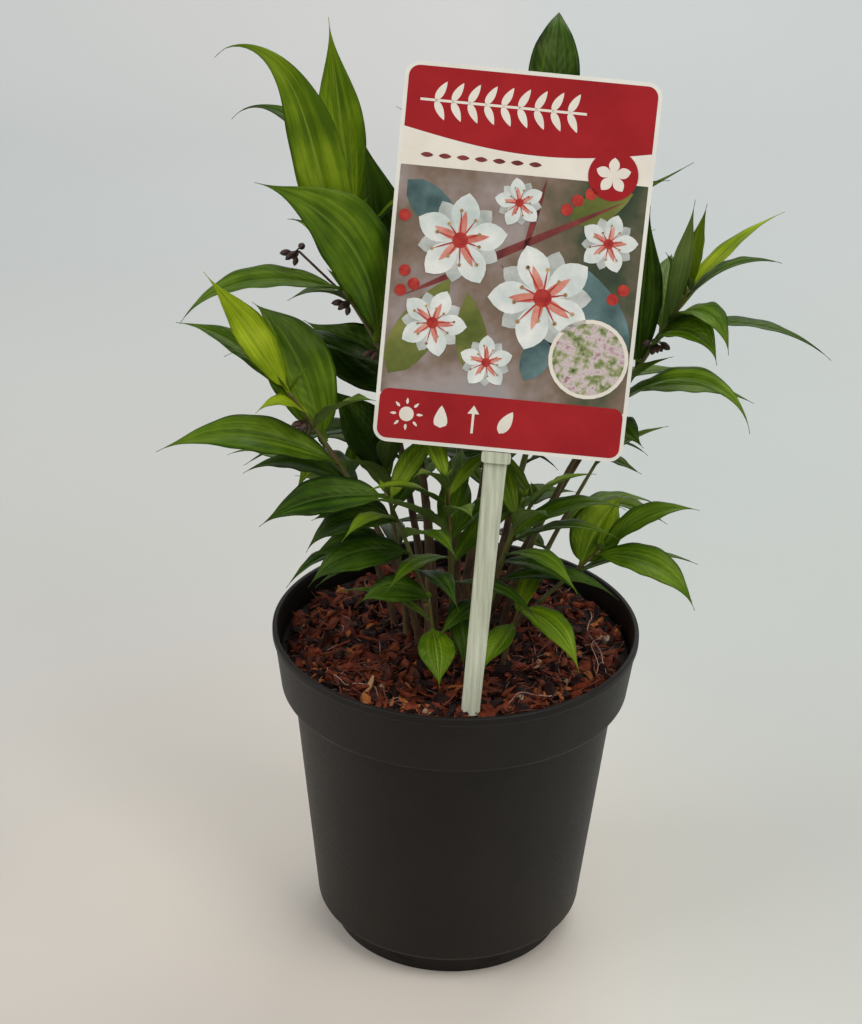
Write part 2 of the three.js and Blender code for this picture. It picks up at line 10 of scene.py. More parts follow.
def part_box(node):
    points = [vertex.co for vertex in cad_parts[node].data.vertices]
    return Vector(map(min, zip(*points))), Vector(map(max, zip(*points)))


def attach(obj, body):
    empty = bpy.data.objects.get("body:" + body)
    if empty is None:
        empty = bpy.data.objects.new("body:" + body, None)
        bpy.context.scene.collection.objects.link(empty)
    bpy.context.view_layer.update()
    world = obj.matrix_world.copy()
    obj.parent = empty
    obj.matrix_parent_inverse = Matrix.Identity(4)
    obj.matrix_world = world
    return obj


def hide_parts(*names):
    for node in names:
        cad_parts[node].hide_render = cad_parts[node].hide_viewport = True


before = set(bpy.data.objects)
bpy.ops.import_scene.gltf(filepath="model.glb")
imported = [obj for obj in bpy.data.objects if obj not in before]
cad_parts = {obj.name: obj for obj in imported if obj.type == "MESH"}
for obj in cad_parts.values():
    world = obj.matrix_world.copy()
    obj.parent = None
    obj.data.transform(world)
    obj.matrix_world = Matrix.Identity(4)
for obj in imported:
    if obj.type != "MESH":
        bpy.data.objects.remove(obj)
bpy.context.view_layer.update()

# The pot is a thin nursery pot, moulded in matt black plastic. A collar stiffens its rim, and slots through
# the ledge over its foot let water out. It is turned from one profile, and the slots are cut afterwards.
# Sizes in this file are in millimetres, and a mesh is made in metres.
MM = 0.001
RIM_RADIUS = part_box("pot")[1].x / MM
POT_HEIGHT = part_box("pot")[1].z / MM
POT_STEPS = 192
POT_OUTSIDE = [
    (51.9, 0.0, 0.9),
    (53.0, 8.5, 0.7),
    (59.5, 12.0, 2.0),
    (70.5, 118.0, 0.8),
    (76.0, 121.0, 1.6),
    (79.1, POT_HEIGHT - 4.2, 0.3),
    (RIM_RADIUS, POT_HEIGHT - 3.4, 0.5),
    (RIM_RADIUS, POT_HEIGHT, 0.9),
    (RIM_RADIUS - 2.0, POT_HEIGHT, 0.5),
]
POT_INSIDE = [
    (RIM_RADIUS - 2.7, POT_HEIGHT - 2.4, 0.8),
    (74.6, 121.7, 1.0),
    (69.1, 119.4, 0.8),
    (58.1, 13.4, 1.0),
    (51.6, 9.2, 0.6),
    (50.6, 1.8, 0.6),
]
SLOT_COUNT = 8
SLOT_WIDE = 13.0
SLOT_LOW = 4.5
SLOT_TALL = 6.0
SLOT_REACH = 8.0
SLOT_RADIUS = 56.25
SHARP = math.radians(38)
POT_BLACK = [(0.0054, 0.0036, 0.0025), (0.0104, 0.0072, 0.0050)]


def new_node(tree, kind, inputs=None, **settings):
    made = tree.nodes.new("ShaderNode" + kind)
    for name, value in settings.items():
        setattr(made, name, value)
    for key, value in (inputs or {}).items():
        if isinstance(value, bpy.types.NodeSocket):
            tree.links.new(value, made.inputs[key])
        else:
            made.inputs[key].default_value = value
    return made


def clouds(tree, place, scale, detail, rough=0.5):
    """A share that wanders between 0 and 1 with the place, in patches of which scale fit in its unit."""
    sizes = {"Vector": place, "Scale": scale, "Detail": detail, "Roughness": rough}
    return new_node(tree, "TexNoise", sizes).outputs["Fac"]


def ranged(tree, value, start, end, low=0.0, high=1.0, **settings):
    """A share that goes from low to high as the value goes from start to end."""
    sizes = {"Value": value, "From Min": start, "From Max": end, "To Min": low, "To Max": high}
    return new_node(tree, "MapRange", sizes, **settings).outputs["Result"]


def shades_of(tree, share, shades, low=0.3, high=0.7):
    """A colour that runs through the shades as share goes from low to high."""
    ramp = new_node(tree, "ValToRGB", {"Fac": share})
    stops = ramp.color_ramp.elements
    while len(stops) < len(shades):
        stops.new(0.5)
    for i, shade in enumerate(shades):
        stops[i].position = low + (high - low) * i / (len(shades) - 1)
        stops[i].color = (*shade, 1)
    return ramp.outputs["Color"]


def speckled(name, shades, scale, rough, relief=0.0, relief_scale=900.0, stretch=(1, 1, 1), **sockets):
    """A finish whose colour wanders through the shades, in patches of which scale fit in a metre."""
    material = bpy.data.materials.new(name)
    material.use_nodes = True
    tree = material.node_tree
    shader = tree.nodes["Principled BSDF"]
    place = new_node(tree, "TexCoord").outputs["Object"]
    place = new_node(tree, "Mapping", {"Vector": place, "Scale": stretch}).outputs["Vector"]
    broad = clouds(tree, place, scale, 5.0, 0.6)
    tree.links.new(shades_of(tree, broad, shades), shader.inputs["Base Color"])
    grain = clouds(tree, place, relief_scale, 3.0)
    tree.links.new(ranged(tree, grain, 0.0, 1.0, *rough), shader.inputs["Roughness"])
    if relief:
        bump = new_node(tree, "Bump", {"Height": grain, "Strength": 1.0, "Distance": relief * MM})
        tree.links.new(bump.outputs["Normal"], shader.inputs["Normal"])
    for socket, value in sockets.items():
        shader.inputs[socket.replace("_", " ")].default_value = value
    return material


def make_piece(name, points, faces, materials, smooth=True, kinds=None, maps=(), weld=0.0):
    """An object with its mesh in place, in the frame, with every closed skin facing outwards."""
    mesh = bpy.data.meshes.new(name)
    mesh.from_pydata((np.asarray(points, float) * MM).tolist(), [], faces)
    for material in materials:
        mesh.materials.append(material)
    if kinds:
        mesh.polygons.foreach_set("material_index", kinds)
    mesh.polygons.foreach_set("use_smooth", [smooth] * len(faces))
    for layer_name, spots in maps:
        layer = mesh.uv_layers.new(name=layer_name)
        layer.data.foreach_set("uv", np.array(spots, np.float32).ravel())
    skin = bmesh.new()
    skin.from_mesh(mesh)
    if weld:
        bmesh.ops.remove_doubles(skin, verts=skin.verts, dist=weld * MM)
    bmesh.ops.recalc_face_normals(skin, faces=skin.faces)
    skin.to_mesh(mesh)
    skin.free()
    piece = bpy.data.objects.new(name, mesh)
    bpy.context.scene.collection.objects.link(piece)
    return piece


def eased(corners):
    """The corners of a profile, each rounded off by its ease along both sides."""
    line = []
    for i, (radius, height, ease) in enumerate(corners):
        corner = Vector((radius, height))
        before = Vector(corners[i - 1][:2]) if i else Vector((0, height))
        after = Vector(corners[i + 1][:2]) if i + 1 < len(corners) else Vector((0, height))
        start = corner + (before - corner).normalized() * ease
        end = corner + (after - corner).normalized() * ease
        for t in (0, 0.25, 0.5, 0.75, 1):
            point = start * (1 - t) ** 2 + corner * 2 * t * (1 - t) + end * t**2
            line.append((point.x, point.y))
    return line


def wrapped(rings, sides):
    """The faces of a closed skin over a first point, rings of as many sides, and a last point."""
    last = 1 + rings * sides
    faces = []
    for k in range(sides):
        after = (k + 1) % sides
        faces.append((0, 1 + after, 1 + k))
        faces.append((last, last - sides + k, last - sides + after))
        for i in range(rings - 1):
            row = 1 + i * sides
            faces.append((row + k, row + after, row + sides + after, row + sides + k))
    return faces


def turned(profile, steps):
    """Points and faces of a profile turned about the upright axis, closed on the axis at both ends."""
    points = [(0, 0, profile[0][1])]
    for radius, height in profile:
        for k in range(steps):
            angle = 2 * math.pi * k / steps
            points.append((radius * math.cos(angle), radius * math.sin(angle), height))
    points.append((0, 0, profile[-1][1]))
    return points, wrapped(len(profile), steps)


def capped(rings, sides):
    """The faces of a closed skin over rings of as many sides, with a flat cap at both ends."""
    last = (rings - 1) * sides
    faces = [tuple(range(sides - 1, -1, -1)), tuple(range(last, last + sides))]
    for i in range(rings - 1):
        for k in range(sides):
            row = i * sides
            after = (k + 1) % sides
            faces.append((row + k, row + after, row + sides + after, row + sides + k))
    return faces


def joined(parts):
    """The points and faces of several meshes as one list of each."""
    points = []
    faces = []
    for some_points, some_faces in parts:
        base = len(points)
        points.extend(some_points)
        faces.extend([tuple(base + k for k in face) for face in some_faces])
    return points, faces


pot_plastic = speckled("pot_plastic", POT_BLACK, 26.0, (0.42, 0.6), 0.03, 700.0, Specular_IOR_Level=0.24)
pot = make_piece("nursery_pot", *turned(eased(POT_OUTSIDE + POT_INSIDE), POT_STEPS), [pot_plastic])
slots = []
for i in range(SLOT_COUNT):
    turn = Matrix.Rotation((i + 0.5) / SLOT_COUNT * 2 * math.pi, 3, "Z")
    corners = []
    for z in (SLOT_LOW, SLOT_LOW + SLOT_TALL):
        for x, y in ((-1, -1), (1, -1), (1, 1), (-1, 1)):
            corners.append(turn @ Vector((x * SLOT_WIDE / 2, y * SLOT_REACH / 2 - SLOT_RADIUS, z)))
    slots.append((corners, capped(2, 4)))
cutter = make_piece("slot_cutter", *joined(slots), [pot_plastic], smooth=False)
cut = pot.modifiers.new("slots", "BOOLEAN")
cut.operation = "DIFFERENCE"
cut.solver = "EXACT"
cut.object = cutter
bpy.context.view_layer.update()
with_slots = bpy.data.meshes.new_from_object(pot.evaluated_get(bpy.context.evaluated_depsgraph_get()))
pot.modifiers.clear()
pot.data = with_slots
bpy.data.objects.remove(cutter)
edges = bmesh.new()
edges.from_mesh(pot.data)
for edge in edges.edges:
    edge.smooth = edge.calc_face_angle(0) < SHARP
edges.to_mesh(pot.data)
edges.free()
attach(pot, "root")
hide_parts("pot")

# The compost is a coarse mix of composted bark, wood fibre and coir, filled to a little under the rim.
# A dark bed fills the pot. Split chips and curled fibres, each kind joined, lie on it by chance.
SOIL = 139.0
SOIL_FLAT_RADIUS = 56.0
SOIL_EDGE = 137.5
BED_EDGE_RADIUS = 76.0
BED_LUMP = 1.7
BED_SCALE = 0.16
BED_UNDER = 0.8
BED_STEPS = 120
BED_BROWN = [(0.003, 0.0012, 0.0008), (0.018, 0.005, 0.003)]
BED_SIDE = [(50.2, 2.1), (51.2, 9.5), (57.7, 13.7), (68.7, 119.7), (74.2, 122.0)]
BED_RINGS = 38
CHIP_KINDS = [
    ("bark_lumps", 52, (8.0, 15.0), (2.6, 4.6), [(0.010, 0.0026, 0.0016), (0.110, 0.026, 0.012)]),
    ("dark_chips", 480, (4.0, 12.0), (1.3, 3.4), [(0.003, 0.0011, 0.0008), (0.026, 0.0060, 0.0036)]),
    ("red_chips", 330, (4.0, 14.0), (1.2, 3.4), [(0.028, 0.0048, 0.0020), (0.215, 0.040, 0.014)]),
    ("bark_shreds", 420, (8.0, 19.0), (0.5, 1.3), [(0.034, 0.0060, 0.0024), (0.250, 0.055, 0.022)]),
    ("orange_chips", 150, (3.0, 10.0), (0.8, 2.3), [(0.16, 0.042, 0.010), (0.40, 0.135, 0.036)]),
    ("pale_chips", 20, (2.5, 6.0), (0.9, 2.0), [(0.20, 0.11, 0.05), (0.40, 0.26, 0.15)]),
]
FIBRE_KINDS = [
    ("brown_fibres", 420, (9.0, 26.0), (0.35, 0.8), [(0.050, 0.014, 0.009), (0.22, 0.075, 0.048)]),
    ("pale_fibres", 90, (9.0, 24.0), (0.25, 0.5), [(0.22, 0.105, 0.075), (0.48, 0.30, 0.24)]),
]
SCRAP_OVER = (0.1, 1.5)
ROOT_THREADS = [(59, 36, 96, 62), (66, 12, 80, 40), (40, -44, 25, 26), (-52, -28, 130, 30)]
THREAD_STEPS = 18
THREAD_RADIUS = 0.34
THREAD_OVER = 2.6
THREAD_SWAY = 2.6
THREAD_TREMOR = 1.1
THREAD_WAVE = 1.6
THREAD_TAPER = 0.6
THREAD_PINK = [(0.24, 0.12, 0.09), (0.46, 0.30, 0.24)]
SPLINTER = (-36.4, -43.5, 11.0)
SPLINTER_WIDE = 1.7
SPLINTER_OVER = 3.6
SPLINTER_PITCH = math.radians(-64)
SPLINTER_ROLL = math.radians(20)
SPLINTER_WOOD = [(0.30, 0.13, 0.05), (0.55, 0.30, 0.14)]
GRITS = [(27.4, -47.9, 3.4), (66.5, 6.2, 4.0), (-12.0, -58.5, 2.6), (-8.2, -57.0, 2.2), (-10.2, -60.4, 2.0),
         (-14.0, -61.0, 1.8), (48.0, -30.0, 2.2), (-60.0, 14.0, 2.6), (10.0, 62.0, 3.0), (-34.0, 52.0, 2.4)]
GRIT_ROUGH = 0.35
GRIT_LUMP = 1.3
GRIT_HALF = 0.62
GRIT_LIFT = 0.35
GRIT_TAN = [(0.13, 0.085, 0.045), (0.36, 0.26, 0.17)]
CHIP_SIDES = 6
CHIP_RINGS = ((-0.5, 0.35), (-0.3, 0.95), (0.05, 1.0), (0.34, 0.8), (0.5, 0.3))
CHIP_THICK = (0.3, 0.6)
CHIP_BEND = 0.12
CHIP_ROUGH = (0.7, 1.25)
CHIP_RAGGED = 0.06
CHIP_TILT = 0.32
CHIP_REACH = 75.4
FIBRE_STEPS = 9
FIBRE_SIDES = 5
FIBRE_CURL = 1.1
FIBRE_LIFT = (-0.5, 0.9)
FIBRE_RISE = 0.3
FIBRE_WIGGLE = 0.3
FIBRE_END = 0.35
FIBRE_TILT = 0.22


def bed_height(x, y):
    radius = math.hypot(x, y)
    slope = max(0.0, radius - SOIL_FLAT_RADIUS) / (BED_EDGE_RADIUS - SOIL_FLAT_RADIUS)
    lump = BED_LUMP * noise.noise(Vector((x * BED_SCALE, y * BED_SCALE, 3.0)))
    return SOIL - (SOIL - SOIL_EDGE) * slope + lump - BED_UNDER


def tube(path, radii, sides):
    """Points and faces of a round limb along a path, with a radius for each ring, or each ring and side."""
    path = np.asarray(path, float)
    radii = np.asarray(radii, float)
    if radii.ndim == 1:
        radii = np.repeat(radii[:, None], sides, 1)
    along = np.gradient(path, axis=0)
    along /= np.linalg.norm(along, axis=1)[:, None]
    across = np.cross(along[0], (0.13, 0.99, 0.05))
    points = [path[0]]
    for i, centre in enumerate(path):
        across = across - along[i] * (across @ along[i])
        across /= np.linalg.norm(across)
        front = np.cross(along[i], across)
        for k in range(sides):
            angle = 2 * math.pi * k / sides
            points.append(centre + radii[i, k] * (across * math.cos(angle) + front * math.sin(angle)))
    points.append(path[-1])
    return points, wrapped(len(path), sides)


def lie_down(rng, points, tilt):
    """Turns a scrap at random and drops it on the bed. It returns None if the scrap would pass the wall."""
    angle = 2 * math.pi * rng.random()
    out = CHIP_REACH * math.sqrt(rng.random())
    x = out * math.cos(angle)
    y = out * math.sin(angle)
    spin = Matrix.Rotation(2 * math.pi * rng.random(), 3, "Z")
    pitch = Matrix.Rotation(rng.normal(0, tilt), 3, "Y")
    roll = Matrix.Rotation(2 * math.pi * rng.random(), 3, "X")
    lay = np.array(spin @ pitch @ roll)
    placed = np.asarray(points) @ lay.T + (x, y, bed_height(x, y) + rng.uniform(*SCRAP_OVER))
    return placed if np.hypot(placed[:, 0], placed[:, 1]).max() < CHIP_REACH else None


def chip(rng, length, wide):
    """A split chip of bark: a few rough rings, flattened and bent, with blunt ends."""
    thick = wide * rng.uniform(*CHIP_THICK)
    bend = rng.uniform(-CHIP_BEND, CHIP_BEND) * length
    points = []
    for along, share in CHIP_RINGS:
        for k in range(CHIP_SIDES):
            angle = 2 * math.pi * k / CHIP_SIDES
            rough = share * rng.uniform(*CHIP_ROUGH)
            x = length * along + rng.uniform(-CHIP_RAGGED, CHIP_RAGGED) * length
            z = rough * thick * math.sin(angle) + bend * along**2 * 4
            points.append((x, rough * wide * math.cos(angle), z))
    return points, capped(len(CHIP_RINGS), CHIP_SIDES)


def fibre(rng, length, thick):
    """A curled fibre, thinner at both ends."""
    curl = rng.uniform(-FIBRE_CURL, FIBRE_CURL)
    lift = rng.uniform(*FIBRE_LIFT)
    path = []
    radii = []
    for i in range(FIBRE_STEPS):
        t = i / (FIBRE_STEPS - 1) - 0.5
        sway = length * curl * (t**2 - 0.1) + FIBRE_WIGGLE * math.sin(9 * t)
        path.append((length * t, sway, length * lift * FIBRE_RISE * t**2))
        swell = math.sin(math.pi * (i + 0.6) / FIBRE_STEPS)
        radii.append(thick / 2 * (FIBRE_END + (1 - FIBRE_END) * swell))
    return tube(path, radii, FIBRE_SIDES)


bed_profile = BED_SIDE + [(BED_EDGE_RADIUS * (1 - i / BED_RINGS), SOIL_EDGE) for i in range(BED_RINGS)]
bed_points, bed_faces = turned(bed_profile, BED_STEPS)
bed_points = [(x, y, bed_height(x, y) if z >= SOIL_EDGE else z) for x, y, z in bed_points]
bed_brown = speckled("bed_brown", BED_BROWN, 240.0, (0.8, 1.0), 0.6, 500.0)
bed = make_piece("compost_bed", bed_points, bed_faces, [bed_brown])
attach(bed, "root")
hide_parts("compost")
rng = np.random.default_rng(11)
for make, kinds, tilt in ((chip, CHIP_KINDS, CHIP_TILT), (fibre, FIBRE_KINDS, FIBRE_TILT)):
    for name, count, lengths, widths, shades in kinds:
        scraps = []
        while len(scraps) < count:
            points, faces = make(rng, rng.uniform(*lengths), rng.uniform(*widths))
            points = lie_down(rng, points, tilt)
            if points is not None:
                scraps.append((points, faces))
        brown = speckled(name, shades, 210.0, (0.45, 0.8), 0.14, 1100.0, Specular_IOR_Level=0.16)
        heap = make_piece(name, *joined(scraps), [brown], smooth=make is fibre)
        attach(heap, "root")
threads = []
for x, y, bearing, length in ROOT_THREADS:
    turn = math.radians(bearing)
    path = []
    radii = []
    for i in range(THREAD_STEPS + 1):
        t = i / THREAD_STEPS
        sway = THREAD_SWAY * math.sin(4.2 * t + x) + THREAD_TREMOR * math.sin(11 * t)
        px = x - length * t * math.cos(turn) + sway * math.sin(turn)
        py = y - length * t * math.sin(turn) - sway * math.cos(turn)
        path.append((px, py, bed_height(px, py) + THREAD_OVER + THREAD_WAVE * math.sin(5 * t + y)))
        radii.append(THREAD_RADIUS * (1 - THREAD_TAPER * t))
    threads.append(tube(path, radii, FIBRE_SIDES))
grits = []
for x, y, size in GRITS:
    ball = bmesh.new()
    bmesh.ops.create_icosphere(ball, subdivisions=3, radius=1.0)
    centre = Vector((x, y, bed_height(x, y) + size * GRIT_LIFT))
    points = []
    for corner in ball.verts:
        rough = 1 + GRIT_ROUGH * noise.noise(corner.co * GRIT_LUMP + Vector((x, y, 0)))
        points.append(centre + corner.co * rough * size * GRIT_HALF)
    grits.append((points, [tuple(corner.index for corner in face.verts) for face in ball.faces]))
    ball.free()
x, y, length = SPLINTER
points, faces = chip(rng, length, SPLINTER_WIDE)
stand = Matrix.Rotation(SPLINTER_PITCH, 3, "Y") @ Matrix.Rotation(SPLINTER_ROLL, 3, "X")
splinter = [(np.asarray(points) @ np.array(stand).T + (x, y, bed_height(x, y) + SPLINTER_OVER), faces)]
thread_pink = speckled("thread_pink", THREAD_PINK, 120.0, (0.6, 0.8), 0.05, 1300.0)
grit_tan = speckled("grit_tan", GRIT_TAN, 420.0, (0.6, 0.85), 0.15, 900.0)
splinter_wood = speckled("splinter_wood", SPLINTER_WOOD, 300.0, (0.6, 0.8), 0.1, 1200.0)
for name, parts, finish, smooth in (
    ("root_threads", threads, thread_pink, True),
    ("grit", grits, grit_tan, True),
    ("splinter", splinter, splinter_wood, False),
):
    piece = make_piece(name, *joined(parts), [finish], smooth=smooth)
    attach(piece, "root")

# The shrub has twenty shoots, each with a foot on the compost and a tip. A shoot's lead leaves are
# placed one by one, and the rule adds more. Its leaves spring from it at a share of its height.
GAP = 0.3
GOLDEN_ANGLE = 137.5
LEAF_STEPS = 24
PETIOLE_SHARE = 0.07
STEM_CHECKS = 80
FLARE = 0.4
FLARE_SHARE = 0.06
TIP_TAPER = 0.55
BOUGH_SHORT = 0.03
# The more bend a stem has, the later it turns outwards. Its leaves begin at first, and the rule adds more
# of them, of that size, from the bearing phase. A spray is a cluster of buds on a long stalk.
SHOOT_KEYS = ("name", "foot", "tip", "bend", "thick", "first", "more", "size", "phase",
              "lead", "buds", "sprays")
LEAF_KEYS = ("at", "bearing", "rise", "length", "arch", "late", "roll", "width", "age")
# A lead leaf's age picks its green. The darkest green goes both to old leaves and to leaves deep in the
# shrub's shade, where it is a painted shade.
SHOOT_ROWS = [
    ("high_left", (-12, -4), (-50, -8, 307), 3, 3.4, 0.8, 2, 1, 20,
     [(0.97, 262, 77, 131, 155, 6.5, 71, 21, "fresh"), (1, 267, 13, 73, 76, 1.7, 14, 15, "grown"),
      (0.86, 243, 93, 99, 75, 0.9, 70, 31, "grown")],
     [(0.97, 285), (0.84, 262)], [(0.97, 290, 38, 29)]),
    ("tall_left", (-10, 6), (-46, 10, 330), 2, 4, 0.52, 6, 1, 180,
     [(1, 319, 77, 82, -4, 4.1, 41, 18, "fresh"), (0.9, 299, 67, 101, 126, 2.6, 20, 12, "old"),
      (0.7, 319, 80, 97, 19, 1.5, 40, 27, "old"), (0.6, 300, 29, 57, 15, 1.4, 40, 26, "old")]),
    ("mid_left", (-15, -12), (-71, -22, 267), 1.5, 3.4, 0.5, 2, 1, 10,
     [(1, 262, 61, 63, 8, 1.4, 55, 15, "young"), (0.97, 289, 48, 61, 55, 1.4, 20, 12, "grown"),
      (0.82, 319, 69, 71, 65, 1.4, 45, 27, "grown"), (0.74, 263, 29, 79, 59, 1.4, 30, 18, "grown"),
      (0.66, 274, 29, 49, 69, 1.5, 10, 13, "old"), (0.89, 246, 62, 30, 112, 1.4, 10, 10, "young")],
     [(0.9, 262)]),
    ("low_left", (-9, -21), (-31, -29, 226), 1.6, 3, 0.4, 6, 0.8, 60,
     [(0.98, 259, 9, 56, 51, 1.4, 30, 18, "old"), (0.84, 262, 13, 44, 81, 1.4, 20, 15, "old"),
      (0.66, 256, 12, 48, 70, 1.4, 25, 18, "old")]),
    ("front", (-1, -12), (-6, -34, 236), 1.3, 3.2, 0.3, 15, 0.72, 210),
    ("front_right", (10, -14), (26, -30, 226), 1.3, 3, 0.35, 12, 0.75, 180),
    ("inner_left", (-21, 3), (-32, 2, 224), 1.2, 3, 0.4, 8, 0.75, 250,
     [(0.95, 285, 66, 46, 30, 1.4, 45, 20, "old"), (0.7, 250, 26, 38, 50, 1.4, 30, 18, "old"),
      (0.5, 262, 22, 40, 60, 1.4, 30, 17, "old")]),
    ("inner_right", (4, -3), (32, -12, 218), 1.2, 3, 0.4, 9, 0.75, 240),
    ("basal_left", (-8, -33), (-12, -38, 182), 1.3, 2.4, 0.45, 1, 0.6, 270,
     [(1, 267, 27, 32, 79, 1.3, 34, 13, "old"), (0.63, 172, -6, 30, 62, 1.3, 0, 15, "fresh")]),
    ("basal_right", (20, -24), (26, -30, 174), 1.3, 2.4, 0.45, 2, 0.6, 240,
     [(0.98, 138, 16, 44, 85, 1.2, -10, 13, "fresh"), (0.75, 200, -5, 28, 40, 1.2, 0, 12, "grown")]),
    ("low_right", (16, -5), (60, -14, 194), 1.1, 3, 0.5, 1, 0.8, 110,
     [(1, 85, 50, 48, 70, 1.5, -25, 11, "grown"), (0.95, 117, 16, 54, 87, 1.5, -25, 15, "grown"),
      (0.84, 53, 73, 37, 47, 1.1, -45, 21, "fresh")]),
    ("mid_right", (20, 5), (61, -6, 260), 1.4, 3.4, 0.4, 8, 0.85, 210,
     [(0.95, 127, 42, 86, 128, 2.4, -10, 15, "grown"), (0.9, 140, 20, 30, 50, 1.4, -10, 15, "old"),
      (0.8, 110, -7, 28, 18, 1.5, 0, 9, "old")]),
    ("tall_right", (12, 12), (91, -2, 308), 1.12, 3.8, 0.6, 5, 0.85, 310,
     [(1, 50, 82, 36, 5, 1.4, 0, 8, "fresh"), (0.91, 162, 70, 62, -9, 1.8, 18, 8, "fresh"),
      (0.9, 58, 51, 72, 42, 1.4, 0, 9, "young"), (0.97, 100, 50, 46, 66, 1.7, 0, 11, "old"),
      (0.98, 305, 66, 20, 19, 1.4, 0, 8, "old"), (0.91, 144, 41, 47, 132, 1.8, -5, 15, "grown"),
      (0.9, 95, 9, 72, 54, 1.8, 0, 10, "old"), (0.84, 138, 53, 47, 137, 1.7, -20, 18, "grown"),
      (0.78, 20, 86, 70, 0, 1.4, -30, 15, "old")],
     [(0.86, 150)]),
    ("crown", (2, 9), (33, 26, 356), 1.2, 4.2, 0.52, 10, 1, 15,
     [(1, 5, 85, 67, 112, 2.6, 0, 20, "old"), (0.79, 89, 34, 79, 2, 1.2, 0, 10, "fresh")],
     [(0.8, 200)]),
    ("back_left", (-13, 20), (-46, 50, 302), 1.3, 3.8, 0.38, 13, 1, 160, [], [(0.86, 300), (0.7, 20)]),
    ("back", (0, 24), (0, 68, 322), 1.3, 3.8, 0.38, 13, 1, 90, [], [(0.84, 10), (0.66, 80)]),
    ("back_right", (15, 23), (50, 56, 292), 1.3, 3.6, 0.38, 11, 1, 260, [], [(0.8, 60)]),
    ("low_back_left", (-27, 15), (-60, 36, 216), 1.3, 3, 0.4, 7, 0.85, 240),
    ("low_back", (8, 36), (16, 64, 208), 1.3, 3, 0.4, 7, 0.85, 270),
    ("low_back_right", (27, 17), (62, 38, 214), 1.3, 3, 0.4, 5, 0.85, 270),
]
SHOOTS = [dict(zip(SHOOT_KEYS, row)) for row in SHOOT_ROWS]


def chance(key):
    wave = math.sin(key * 12.9898) * 43758.5453
    return wave - math.floor(wave)


def heading(bearing, rise):
    """The direction of a compass bearing and a rise above the level, both in degrees."""
    turn = math.radians(bearing)
    lift = math.radians(rise)
    return np.array((math.sin(turn) * math.cos(lift), math.cos(turn) * math.cos(lift), math.sin(lift)))


def stem_point(shoot, share):
    out = share ** shoot["bend"]
    x, y = (foot + (tip - foot) * out for foot, tip in zip(shoot["foot"], shoot["tip"]))
    return np.array((x, y, SOIL + GAP + (shoot["tip"][2] - SOIL - GAP) * share))


def stem_radius(shoot, share):
    flare = FLARE * max(0.0, 1 - share / FLARE_SHARE)
    return shoot["thick"] / 2 * (1 - TIP_TAPER * share + flare)


# A bough is the bare lower part of a shoot, with thin bark that splits lengthwise and a ridge at each old
# leaf scar. Young growth above it is green, flushed with red.
BOUGH_RING = 1.6
BOUGH_SIDES = 16
LEAST_RINGS = 4
BARK_WANDER = 14.0
RIDGES = 5
RIDGE_DEEP = 0.06
RIDGE_TWIST = 6.0
SCAR_APART = 9.0
SCAR_PROUD = 0.14
SCAR_WIDE = 0.9
SCAR_VARY = 0.6
SCAR_SHIFT = 3.1
BOUGH_SINK = 2.5
TWIG_RING = 2.0
TWIG_SIDES = 10
TWIG_ROUGH = 0.35
BARK = [(0.030, 0.014, 0.008), (0.085, 0.046, 0.018), (0.16, 0.11, 0.035)]
GREEN_BARK = [(0.10, 0.035, 0.018), (0.085, 0.075, 0.014), (0.12, 0.15, 0.022)]


def limb(shoot, number, start, end, ring, sides, rough):
    """A stretch of a shoot's stem with its bark in relief."""
    height = shoot["tip"][2] - SOIL
    count = max(LEAST_RINGS, round((end - start) * height / ring))
    path = []
    radii = []
    for i in range(count + 1):
        share = start + (end - start) * i / count
        radius = stem_radius(shoot, max(0.0, share))
        path.append(stem_point(shoot, max(0.0, share)) - (0, 0, max(0.0, -share) * height))
        from_scar = (share * height + number * SCAR_SHIFT) % SCAR_APART - SCAR_APART / 2
        scar = SCAR_PROUD * math.exp(-((from_scar / SCAR_WIDE) ** 2))
        row = []
        for k in range(sides):
            angle = 2 * math.pi * k / sides
            wander = noise.noise(Vector((share * BARK_WANDER + number, math.cos(angle), math.sin(angle))))
            ridge = RIDGE_DEEP * math.sin(RIDGES * angle + RIDGE_TWIST * wander) * rough
            row.append(radius * (1 + ridge + scar * (SCAR_VARY + SCAR_VARY * wander)))
        radii.append(row)
    return tube(path, radii, sides)


bark = speckled("bark", BARK, 210.0, (0.55, 0.85), 0.1, 1500.0, (1, 1, 0.35), Specular_IOR_Level=0.4)
for number, shoot in enumerate(SHOOTS):
    cut_share = shoot["first"] - BOUGH_SHORT
    sink = -BOUGH_SINK / (shoot["tip"][2] - SOIL)
    bough = make_piece("bough_" + shoot["name"],
                       *limb(shoot, number, sink, cut_share, BOUGH_RING, BOUGH_SIDES, 1.0), [bark])
    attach(bough, "root")
    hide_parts("stem_" + shoot["name"])

# The label is a printed card, held by a flat stake that is pushed in at the pot's front and leans back.
# Its own axes run across the card, up the stake and out of the printed face. They place it in the frame.
LABEL_FOOT = np.array((6.3, -60.0, SOIL))
LEAN_BACK = math.radians(15)
LEAN_SIDE = math.radians(4)
CARD_WIDE = 102.0
CARD_TALL = 153.0
CARD_THICK = 1.0
CARD_CORNER = 6.0
STAKE_OUT = 112.0
TONGUE_TALL = 62.0
label_up = np.array((math.sin(LEAN_SIDE), math.sin(LEAN_BACK) * math.cos(LEAN_SIDE),
                     math.cos(LEAN_BACK) * math.cos(LEAN_SIDE)))
label_across = np.array((1.0, 0.0, 0.0)) - label_up * label_up[0]
label_across /= np.linalg.norm(label_across)
label_out = np.cross(label_across, label_up)


def on_label(points):
    return LABEL_FOOT + np.asarray(points, float) @ np.array((label_across, label_up, label_out))


